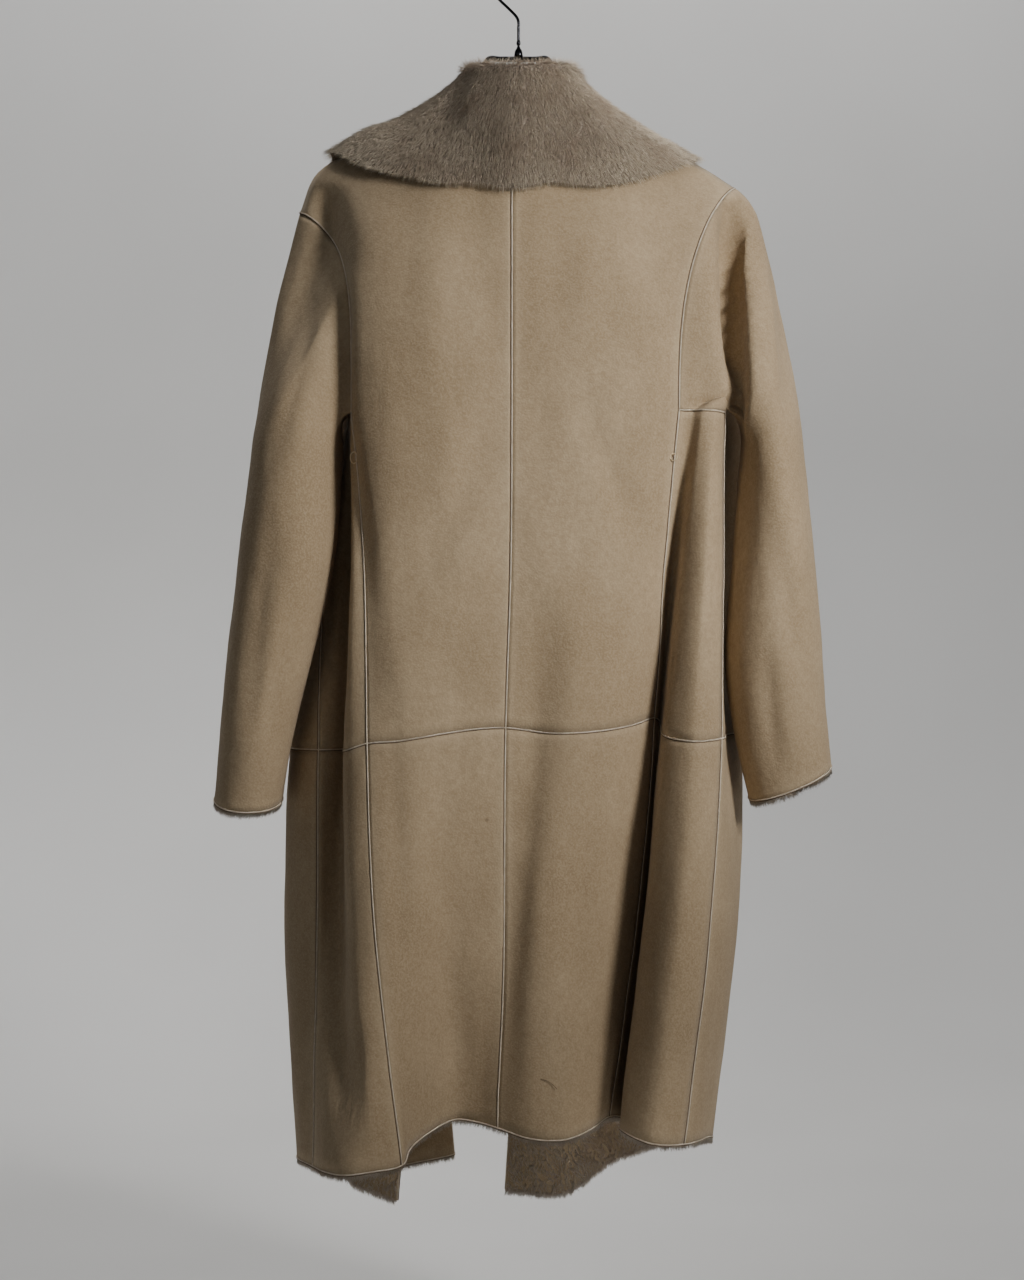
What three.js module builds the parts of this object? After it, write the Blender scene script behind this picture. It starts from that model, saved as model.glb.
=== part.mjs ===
// A knee-length shearling coat on a wire hanger: suede outside, clipped wool inside, with a wide
// shawl collar turned over so that its wool shows. The coat hangs open, folded by its own weight.
//
// Millimetres, +Z up. The back of the coat faces -Y and its fronts face +Y. The origin is the inside
// of the hook's crown, where a rail carries it. Left and right are as seen from behind the coat.
import * as THREE from 'three';

// Driving sizes
const WALL = 4;              // skin and clipped wool together
const COLLAR_WALL = 6;       // the collar's skin and its wool lying down
const SEAM_GAP = 0.3;        // between two pieces at a seam
const WOOL_DROP = 5;         // how far the wool hangs below a cut edge of the skin

// Heights of the levels that every line of the body is given at
const UNDERARM = -458;
const WAIST = -604;
const HIP = -772;
const KNEE = -931;
const HEM = -1160;

// Colours
const SUEDE = new THREE.MeshStandardMaterial({ color: 0xa8957c, roughness: 0.95, metalness: 0 });
const WOOL = new THREE.MeshStandardMaterial({ color: 0x7d7163, roughness: 1, metalness: 0 });
const STEEL = new THREE.MeshStandardMaterial({ color: 0x1d1d20, roughness: 0.25, metalness: 0.9 });

const vector = ([x, y, z]) => new THREE.Vector3(x, y, z);
const mix = (a, b, share) => a + (b - a) * share;
const ease = (share, power) => 1 - (1 - share) ** power;
const spline = (points) => new THREE.CatmullRomCurve3(points, false, 'centripetal');

// The body's cloth is drawn through lines that run down it, listed in order from the left front edge,
// round the back, to the right front edge. Each line gives its place across and its depth at the five
// levels; hip and hem say how far its seam and edge lie off their levels. A line with a top also runs
// on above the underarm to that point of the shoulder, neck or armhole, swinging forward by as much as
// scye on the way. columns counts the grid's columns from this line to the next.
const LINES = [
  { name: 'leftFrontEdge', top: [-46, 50, -200], columns: 1,
    underarm: [-52, 103], waist: [-65, 94], hip: [-80, 80, 0], knee: [-100, 58], hem: [-122, 22, -86] },
  { name: 'leftFoldBack', top: [-54, 42, -183], columns: 3,
    underarm: [-68, 102], waist: [-83, 98], hip: [-96, 90, 0], knee: [-123, 76], hem: [-169, 46, -70] },
  { name: 'leftFoldOut', top: [-60, 32, -165], columns: 3,
    underarm: [-85, 101], waist: [-102, 106], hip: [-102, 112, -4], knee: [-89, 112], hem: [-65, 96, -53] },
  { name: 'leftFrontMiddle', top: [-68, 0, -145], columns: 3,
    underarm: [-112, 98], waist: [-138, 104], hip: [-154, 110, -10], knee: [-152, 118], hem: [-133, 118, -55] },
  { name: 'leftFrontSide', top: [-123, 0, -174], columns: 2,
    underarm: [-167, 72], waist: [-202, 88], hip: [-215, 70, -16], knee: [-224, 70], hem: [-211, 60, -45] },
  { name: 'leftTurn', top: [-200, 0, -213], columns: 2, scye: 46,
    underarm: [-179, 26], waist: [-212, 48], hip: [-228, 4, -17], knee: [-231, -8], hem: [-217, -42, -31] },
  { name: 'leftSideSeam', top: [-218, 0, -253], columns: 1, scye: 56,
    underarm: [-168, -8], waist: [-193, 8], hip: [-197, -35, -17], knee: [-197, -46], hem: [-199, -84, -30] },
  { name: 'leftSideRidge', columns: 1,
    underarm: [-167, -21], waist: [-178, -5], hip: [-184, -30, -17], knee: [-188, -40], hem: [-183, -124, -28] },
  { name: 'leftSideValley', columns: 1,
    underarm: [-168, -32], waist: [-163, 1], hip: [-171, -14, -17], knee: [-175, -38], hem: [-162, -148, -26] },
  { name: 'leftBackFold', columns: 2,
    underarm: [-166, -44], waist: [-161, -80], hip: [-166, -92, -15], knee: [-160, -109], hem: [-138, -146, -23] },
  { name: 'leftPrincess', top: [-218, 0, -253], columns: 2, easeAcross: 4.5, easeDeep: 5,
    underarm: [-163, -58], waist: [-149, -86], hip: [-145, -106, -8], knee: [-138, -122], hem: [-111, -130, -20] },
  { name: 'leftEdgeFold', top: [-200, 0, -213], columns: 2,
    underarm: [-155, -84], waist: [-129, -104], hip: [-113, -116, -5], knee: [-109, -122], hem: [-103, -105, -8] },
  { name: 'leftBlade', top: [-123, 0, -174], columns: 2,
    underarm: [-83, -108], waist: [-75, -112], hip: [-70, -110, 2], knee: [-71, -98], hem: [-62, -62, 11] },
  { name: 'leftNeck', top: [-68, 0, -145], columns: 2,
    underarm: [-42, -106], waist: [-40, -110], hip: [-39, -106, 6], knee: [-42, -92], hem: [-41, -62, 9] },
  { name: 'backCentre', top: [-6, -46, -162], columns: 2,
    underarm: [-6, -104], waist: [-7, -106], hip: [-12, -101, 7], knee: [-14, -92], hem: [-20, -74, 5] },
  { name: 'rightNeck', top: [56, 0, -145], columns: 2,
    underarm: [32, -106], waist: [29, -109], hip: [26, -106, 2], knee: [19, -100], hem: [11, -92, -2] },
  { name: 'rightBlade', top: [116, 0, -178], columns: 2,
    underarm: [81, -106], waist: [76, -106], hip: [69, -102, 3], knee: [58, -92], hem: [45, -92, -3] },
  { name: 'rightEdgeFold', top: [182, 0, -207], columns: 2,
    underarm: [129, -96], waist: [117, -92], hip: [107, -84, 8], knee: [94, -68], hem: [72, -70, 4] },
  { name: 'rightPrincess', top: [217, 0, -229], columns: 1, easeAcross: 2.7, easeDeep: 5,
    underarm: [156, -84], waist: [143, -72], hip: [134, -52, 15], knee: [121, -34], hem: [91, -40, 10] },
  { name: 'rightValley', columns: 2,
    underarm: [169, -78], waist: [152, -56], hip: [140, -34, 10], knee: [129, -10], hem: [104, -12, 4] },
  { name: 'rightRidgeFoot', columns: 2,
    underarm: [179, -84], waist: [162, -84], hip: [143, -84, -2], knee: [127, -88], hem: [100, -84, 5] },
  { name: 'rightRidge', columns: 1,
    underarm: [190, -80], waist: [181, -98], hip: [169, -106, -6], knee: [156, -122], hem: [128, -118, -2] },
  { name: 'rightSideSeam', top: [217, 0, -229], columns: 2, scye: 66,
    underarm: [202, -58], waist: [200, -62], hip: [196, -84, -4], knee: [187, -100], hem: [160, -98, -6] },
  { name: 'rightTurn', top: [182, 0, -207], columns: 2, scye: 56,
    underarm: [203, -2], waist: [196, 10], hip: [207, -28, -2], knee: [211, -50], hem: [187, -50, -8] },
  { name: 'rightFrontSide', top: [116, 0, -178], columns: 3, easeAcross: 1.6,
    underarm: [229, 76], waist: [227, 64], hip: [226, 50, -2], knee: [219, 44], hem: [190, 44, -28] },
  { name: 'rightFrontMiddle', top: [56, 0, -145], columns: 2,
    underarm: [127, 96], waist: [142, 98], hip: [153, 104, -2], knee: [157, 108], hem: [148, 104, -44] },
  { name: 'rightFoldOut', top: [48, 32, -165], columns: 2,
    underarm: [91, 101], waist: [98, 106], hip: [107, 112, 0], knee: [109, 116], hem: [98, 112, -63] },
  { name: 'rightFoldBack', top: [42, 42, -183], columns: 2,
    underarm: [65, 102], waist: [63, 104], hip: [60, 104, 0], knee: [54, 96], hem: [45, 70, -88] },
  { name: 'rightFrontEdge', top: [34, 50, -200], columns: 0,
    underarm: [42, 103], waist: [33, 98], hip: [23, 92, 0], knee: [7, 78], hem: [-13, 46, -80] },
];

// Rows of the body's grid, from the top edge down
const ROWS_TO_UNDERARM = 12;
const ROWS_TO_HIP = 8;
const ROWS_TO_HEM = 10;
const UNDERARM_ROW = ROWS_TO_UNDERARM;
const HIP_ROW = UNDERARM_ROW + ROWS_TO_HIP;
const HEM_ROW = HIP_ROW + ROWS_TO_HEM;

// The sleeves hang as flattened tubes. head and under say how the cloth leaves the armhole at its top
// and beneath the arm: how far out and down it heads, and how strongly, as shares of its reach to the
// first section. Each section gives its height, the centre's place
// across and depth, half its width and half its depth, and how far its plane tips in degrees: side
// lifts the outer end of the ring, forward lifts the front of it.
const SLEEVES = {
  left: {
    head: { out: 0.28, down: 1, pull: 0.9, arrive: 0.9 },
    under: { out: 1, down: 0.1, pull: 0.9, arrive: 0.9 },
    sections: [
      { height: -493, across: -219, deep: -25, width: 45, depth: 60, side: 0, forward: 0 },
      { height: -602, across: -228, deep: -40, width: 47.5, depth: 56, side: 0, forward: 2 },
      { height: -691, across: -243, deep: -42, width: 42.5, depth: 53, side: 0, forward: 5 },
      { height: -770, across: -257, deep: -36, width: 36.5, depth: 49, side: 2, forward: 9 },
      { height: -838, across: -267, deep: -25, width: 34, depth: 46, side: 2, forward: 13 },
    ],
  },
  right: {
    head: { out: 1, down: 0.45, pull: 0.35, arrive: 0.9 },
    under: { out: 0.5, down: -0.86, pull: 1.2, arrive: 1.2 },
    sections: [
      { height: -492, across: 253, deep: -12, width: 31, depth: 68, side: 0, forward: 0 },
      { height: -602, across: 252, deep: -30, width: 41, depth: 62, side: 0, forward: 2 },
      { height: -691, across: 252, deep: -34, width: 47.5, depth: 53, side: 4, forward: 5 },
      { height: -770, across: 260, deep: -32, width: 45, depth: 47, side: 14, forward: 7 },
      { height: -821, across: 269, deep: -25, width: 41, depth: 44, side: 22, forward: 8 },
    ],
  },
};
const SLEEVE_CAP_ROWS = 7;
const SLEEVE_TUBE_ROWS = 8;

// Deep creases in the cloth facing -Y: the line of the crease from its top to its foot, how far it is
// pushed in, and half its width
const SLEEVE_CREASE = { from: [214, -246], to: [222, -440], depth: 34, halfWidth: 18 };
const SHOULDER_CREASE = { from: [-190, -228], to: [-172, -330], depth: 18, halfWidth: 15 };

/** Moves a point of the cloth facing -Y into a crease, if it lies there. */
function creased(point, { from, to, depth, halfWidth }) {
  const share = (point.z - from[1]) / (to[1] - from[1]);
  if (share > 0 && share < 1 && point.y < 0) {
    const off = (point.x - mix(from[0], to[0], share)) / halfWidth;
    const behind = Math.min(-point.y / 20, 1);
    point.y += depth * behind * Math.sin(Math.PI * share ** 0.7) * Math.exp(-off * off);
  }
  return point;
}

/** A body line's point at a share of the way from its top to the underarm. */
function abovePoint({ top, underarm, scye, easeAcross = 3.2, easeDeep = 3.2 }, share) {
  const height = mix(top[2], UNDERARM, share ** 1.15);
  if (scye) {
    const swing = scye * Math.sin(Math.PI * share ** 0.8);
    return new THREE.Vector3(mix(top[0], underarm[0], share), mix(top[1], underarm[1], share) + swing, height);
  }
  return new THREE.Vector3(
    mix(top[0], underarm[0], ease(share, easeAcross)),
    mix(top[1], underarm[1], ease(share, easeDeep)),
    height,
  );
}

/** A body line's point at a row of the grid. */
function linePoint(line, row) {
  if (row < UNDERARM_ROW) {
    return line.top ? abovePoint(line, row / UNDERARM_ROW) : null;
  }
  const [underarm, waist, hip, knee, hem] = ['underarm', 'waist', 'hip', 'knee', 'hem'].map((level) => line[level]);
  const knots = spline([
    new THREE.Vector3(underarm[0], underarm[1], UNDERARM),
    new THREE.Vector3(waist[0], waist[1], WAIST),
    new THREE.Vector3(hip[0], hip[1], HIP + hip[2]),
    new THREE.Vector3(knee[0], knee[1], KNEE + (hip[2] + hem[2]) / 3),
    new THREE.Vector3(hem[0], hem[1], HEM + hem[2] - WOOL_DROP),
  ]);
  const share = row <= HIP_ROW
    ? mix(0, 0.5, (row - UNDERARM_ROW) / ROWS_TO_HIP)
    : mix(0.5, 1, (row - HIP_ROW) / ROWS_TO_HEM);
  return knots.getPoint(share);
}

/** The first and last column of the grid on each named line. */
const COLUMN = {};
LINES.reduce((column, line) => {
  COLUMN[line.name] = column;
  return column + line.columns;
}, 0);

/** Fills one row of the grid with the curve through the lines from one name to another. */
function fillRow(grid, row, from, to) {
  const at = (name) => LINES.findIndex((line) => line.name === name);
  const lines = LINES.slice(at(from), at(to) + 1);
  const curve = spline(lines.map((line) => linePoint(line, row)));
  lines.slice(0, -1).forEach((line, i) => {
    for (let step = 0; step <= line.columns; step += 1) {
      const share = (i + step / line.columns) / (lines.length - 1);
      grid[row][COLUMN[line.name] + step] = creased(curve.getPoint(share), SHOULDER_CREASE);
    }
  });
}

/**
 * The body as a grid of points: rows from the top edge to the hem, columns round the coat. The top
 * row turns a corner at the neck, and its shoulder seams are the same curve in front and behind.
 */
function bodyGrid() {
  const grid = Array.from({ length: HEM_ROW + 1 }, () => []);
  grid.forEach((_, row) => {
    if (row < UNDERARM_ROW) {
      fillRow(grid, row, 'leftFrontEdge', 'leftSideSeam');
      fillRow(grid, row, 'leftPrincess', 'rightPrincess');
      fillRow(grid, row, 'rightSideSeam', 'rightFrontEdge');
    } else {
      fillRow(grid, row, 'leftFrontEdge', 'rightFrontEdge');
    }
  });
  fillRow(grid, 0, 'leftFrontEdge', 'leftFrontMiddle');
  fillRow(grid, 0, 'leftFrontMiddle', 'leftSideSeam');
  fillRow(grid, 0, 'leftPrincess', 'leftNeck');
  fillRow(grid, 0, 'leftNeck', 'rightNeck');
  fillRow(grid, 0, 'rightNeck', 'rightPrincess');
  fillRow(grid, 0, 'rightSideSeam', 'rightFrontMiddle');
  fillRow(grid, 0, 'rightFrontMiddle', 'rightFrontEdge');
  return grid;
}

/** Unit vectors into the coat at the grid's points, square to the cloth. */
function inwardGrid(grid) {
  const inward = grid.map((points) => points.map(() => new THREE.Vector3()));
  const edge = new THREE.Vector3();
  const other = new THREE.Vector3();
  for (let row = 0; row < grid.length - 1; row += 1) {
    for (let column = 0; column < grid[row + 1].length - 1; column += 1) {
      const corners = [[row, column], [row, column + 1], [row + 1, column + 1], [row + 1, column]];
      const [a, b, c, d] = corners.map(([r, k]) => grid[r][k]);
      if (!a || !b || !c || !d) {
        continue;
      }
      const face = edge.subVectors(c, a).cross(other.subVectors(d, b)).clone();
      corners.forEach(([r, k]) => inward[r][k].add(face));
    }
  }
  return inward.map((vectors) => vectors.map((v) => v.normalize()));
}

/** A closed wall between a grid of points and the same points moved inwards; looped joins its sides. */
function wall(points, inner, looped = false) {
  const rows = points.length;
  const columns = points[0].length;
  const positions = [...points.flat(), ...inner.flat()];
  const at = (row, column, side) => side * rows * columns + row * columns + (column % columns);
  const index = [];
  const quad = (a, b, c, d) => index.push(a, b, c, a, c, d);
  // An edge face turns about its own middle, so that two pieces that meet there have the same face
  const edge = (a, b, c, d) => {
    const middle = positions.length;
    positions.push([a, b, c, d].reduce((sum, i) => sum.add(positions[i]), new THREE.Vector3()).multiplyScalar(0.25));
    index.push(a, b, middle, b, c, middle, c, d, middle, d, a, middle);
  };
  for (let column = 0; column < (looped ? columns : columns - 1); column += 1) {
    for (let row = 0; row < rows - 1; row += 1) {
      quad(at(row, column, 0), at(row + 1, column, 0), at(row + 1, column + 1, 0), at(row, column + 1, 0));
      quad(at(row, column, 1), at(row, column + 1, 1), at(row + 1, column + 1, 1), at(row + 1, column, 1));
    }
    edge(at(0, column, 0), at(0, column + 1, 0), at(0, column + 1, 1), at(0, column, 1));
    edge(at(rows - 1, column + 1, 0), at(rows - 1, column, 0), at(rows - 1, column, 1), at(rows - 1, column + 1, 1));
  }
  for (let row = 0; row < (looped ? 0 : rows - 1); row += 1) {
    edge(at(row + 1, 0, 0), at(row, 0, 0), at(row, 0, 1), at(row + 1, 0, 1));
    edge(at(row, columns - 1, 0), at(row + 1, columns - 1, 0), at(row + 1, columns - 1, 1), at(row, columns - 1, 1));
  }
  const geometry = new THREE.BufferGeometry();
  geometry.setAttribute('position', new THREE.Float32BufferAttribute(positions.flatMap((p) => [p.x, p.y, p.z]), 3));
  geometry.setIndex(index);
  return geometry;
}

/** Draws the edges of a grid in from its seams, square to each, so that two pieces keep their gap. */
function drawnIn(points, free = {}) {
  const last = [points.length - 1, points[0].length - 1];
  const moved = points.map((row) => row.map((p) => p.clone()));
  const held = (value, most) => Math.min(Math.max(value, 0), most);
  const pull = (row, column, down, across) => {
    const seam = points[held(row + across, last[0])][held(column + down, last[1])].clone()
      .sub(points[held(row - across, last[0])][held(column - down, last[1])]).normalize();
    const step = points[row + down][column + across].clone().sub(points[row][column]);
    moved[row][column].add(step.addScaledVector(seam, -step.dot(seam)).setLength(SEAM_GAP / 2));
  };
  for (let column = 0; column <= last[1]; column += 1) {
    if (!free.top) pull(0, column, 1, 0);
    if (!free.bottom) pull(last[0], column, -1, 0);
  }
  for (let row = 0; row <= last[0]; row += 1) {
    if (!free.left) pull(row, 0, 0, 1);
    if (!free.right) pull(row, last[1], 0, -1);
  }
  return moved;
}

const GRID = bodyGrid();
const INWARD = inwardGrid(GRID);

/** The armhole as a loop of grid places: down the back, under the arm and up the front. */
function armholePlaces(side) {
  const princess = COLUMN[`${side}Princess`];
  const sideSeam = COLUMN[`${side}SideSeam`];
  const towards = Math.sign(sideSeam - princess);
  const places = [];
  for (let row = 0; row < UNDERARM_ROW; row += 1) places.push([row, princess]);
  for (let column = princess; column !== sideSeam; column += towards) places.push([UNDERARM_ROW, column]);
  for (let row = UNDERARM_ROW; row > 0; row -= 1) places.push([row, sideSeam]);
  return places;
}

/**
 * Turns the wall's direction at each armhole to its middle, half way to it beneath the arm, and at
 * each shoulder seam straight in. The pieces on both sides of a seam then meet face to face.
 */
function turnSeamDirections() {
  for (const side of ['left', 'right']) {
    const places = armholePlaces(side);
    const middle = new THREE.Vector3();
    places.forEach(([row, column]) => middle.add(GRID[row][column]));
    middle.divideScalar(places.length);
    for (const [row, column] of places) {
      const towards = middle.clone().sub(GRID[row][column]).setX(0).normalize();
      INWARD[row][column].multiplyScalar(row === UNDERARM_ROW ? 1 : 0).add(towards).normalize();
    }
    const neck = vector(LINES.find((line) => line.name === `${side}Neck`).top);
    const shoulder = vector(LINES.find((line) => line.name === `${side}Princess`).top);
    const along = shoulder.sub(neck).setY(0).normalize();
    const under = new THREE.Vector3(along.z, 0, -along.x).multiplyScalar(Math.sign(along.x));
    INWARD[0].forEach((direction, column) => {
      const point = GRID[0][column];
      if (Math.sign(point.x) === Math.sign(along.x) && Math.abs(point.y) < 0.5) {
        direction.copy(under);
      }
    });
  }
}
turnSeamDirections();

/** A rectangle of the body's grid as one panel of cloth. */
function panel(firstRow, lastRow, fromLine, toLine, free) {
  const columns = [COLUMN[fromLine], COLUMN[toLine] + 1];
  const cut = (grid) => grid.slice(firstRow, lastRow + 1).map((row) => row.slice(...columns));
  const outer = drawnIn(cut(GRID), free);
  const inner = outer.map((row, i) => row.map((p, k) => p.clone().addScaledVector(cut(INWARD)[i][k], WALL)));
  return wall(outer, inner);
}

const coat = new THREE.Group();

/** Adds a named piece to the coat. */
function piece(name, geometry, material) {
  const mesh = new THREE.Mesh(geometry, material);
  mesh.name = name;
  coat.add(mesh);
}

for (const [name, from, to, upperTop] of [
  ['front_left', 'leftFrontEdge', 'leftSideSeam', 0],
  ['side_left', 'leftSideSeam', 'leftPrincess', UNDERARM_ROW],
  ['back_left', 'leftPrincess', 'backCentre', 0],
  ['back_right', 'backCentre', 'rightPrincess', 0],
  ['side_right', 'rightPrincess', 'rightSideSeam', UNDERARM_ROW],
  ['front_right', 'rightSideSeam', 'rightFrontEdge', 0],
]) {
  piece(`${name}_upper`, panel(upperTop, HIP_ROW, from, to, {}), SUEDE);
  piece(`${name}_skirt`, panel(HIP_ROW, HEM_ROW, from, to, { bottom: true }), SUEDE);
}

/** The middle of one of a sleeve's sections and the point of its ring at a turn from the outer end. */
function sleeveRingPoint(section, sign, turn) {
  const out = sign * section.width * Math.cos(turn);
  const back = -section.depth * Math.sin(turn);
  const lift = Math.tan(THREE.MathUtils.degToRad(section.side)) * Math.abs(section.width) * Math.cos(turn)
    + Math.tan(THREE.MathUtils.degToRad(section.forward)) * back;
  return new THREE.Vector3(section.across + out, section.deep + back, section.height + lift);
}

/** A sleeve as a closed loop of columns, each from the armhole over the cap and down to the cuff. */
function sleeveGrid(side) {
  const sign = side === 'left' ? -1 : 1;
  const { head, under, sections } = SLEEVES[side];
  const places = armholePlaces(side);
  const columns = places.map(([row, column], i) => {
    const turn = 2 * Math.PI * i / places.length;
    const start = GRID[row][column].clone();
    const ring = sections.map((section) => sleeveRingPoint(section, sign, turn));
    const beneath = (1 - Math.cos(turn)) / 2;
    const reach = start.distanceTo(ring[0]);
    const leave = new THREE.Vector3(sign * mix(head.out, under.out, beneath), 0, -mix(head.down, under.down, beneath))
      .setLength(mix(head.pull, under.pull, beneath) * reach);
    const arrive = ring[1].clone().sub(ring[0]).setLength(mix(head.arrive, under.arrive, beneath) * reach);
    const points = [start];
    for (let row = 1; row < SLEEVE_CAP_ROWS; row += 1) {
      points.push(creased(hermite(start, leave, ring[0], arrive, row / SLEEVE_CAP_ROWS), SLEEVE_CREASE));
    }
    const tube = spline(ring);
    for (let row = 0; row <= SLEEVE_TUBE_ROWS; row += 1) {
      points.push(tube.getPoint(row / SLEEVE_TUBE_ROWS));
    }
    points[points.length - 1].z -= WOOL_DROP;
    return points;
  });
  return columns[0].map((_, row) => columns.map((points) => points[row]));
}

/** The cubic from one point to another that leaves and arrives along two given vectors. */
function hermite(start, leave, end, arrive, share) {
  const s2 = share * share;
  const s3 = s2 * share;
  return new THREE.Vector3()
    .addScaledVector(start, 2 * s3 - 3 * s2 + 1)
    .addScaledVector(leave, s3 - 2 * s2 + share)
    .addScaledVector(end, 3 * s2 - 2 * s3)
    .addScaledVector(arrive, s3 - s2);
}

/** One sleeve: its columns run down from the armhole, drawn in from the seam by half its gap. */
function sleeve(side) {
  const grid = sleeveGrid(side);
  const ordered = side === 'left' ? grid : grid.map((row) => [...row].reverse());
  const looped = ordered.map((row) => [row[row.length - 1], ...row, row[0]]);
  const inward = inwardGrid(looped).map((row) => row.slice(1, -1));
  const first = armholePlaces(side).map(([row, column]) => INWARD[row][column]);
  inward[0] = side === 'left' ? first : [...first].reverse();
  const outer = ordered.map((row) => row.map((p) => p.clone()));
  outer[0].forEach((p, k) => {
    const seam = looped[0][k + 2].clone().sub(looped[0][k]).normalize();
    const step = outer[1][k].clone().sub(p);
    p.add(step.addScaledVector(seam, -step.dot(seam)).setLength(0.8 * SEAM_GAP));
  });
  const inner = outer.map((row, i) => row.map((p, k) => p.clone().addScaledVector(inward[i][k], WALL)));
  return wall(outer, inner, true);
}
piece('sleeve_left', sleeve('left'), SUEDE);
piece('sleeve_right', sleeve('right'), SUEDE);

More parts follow.
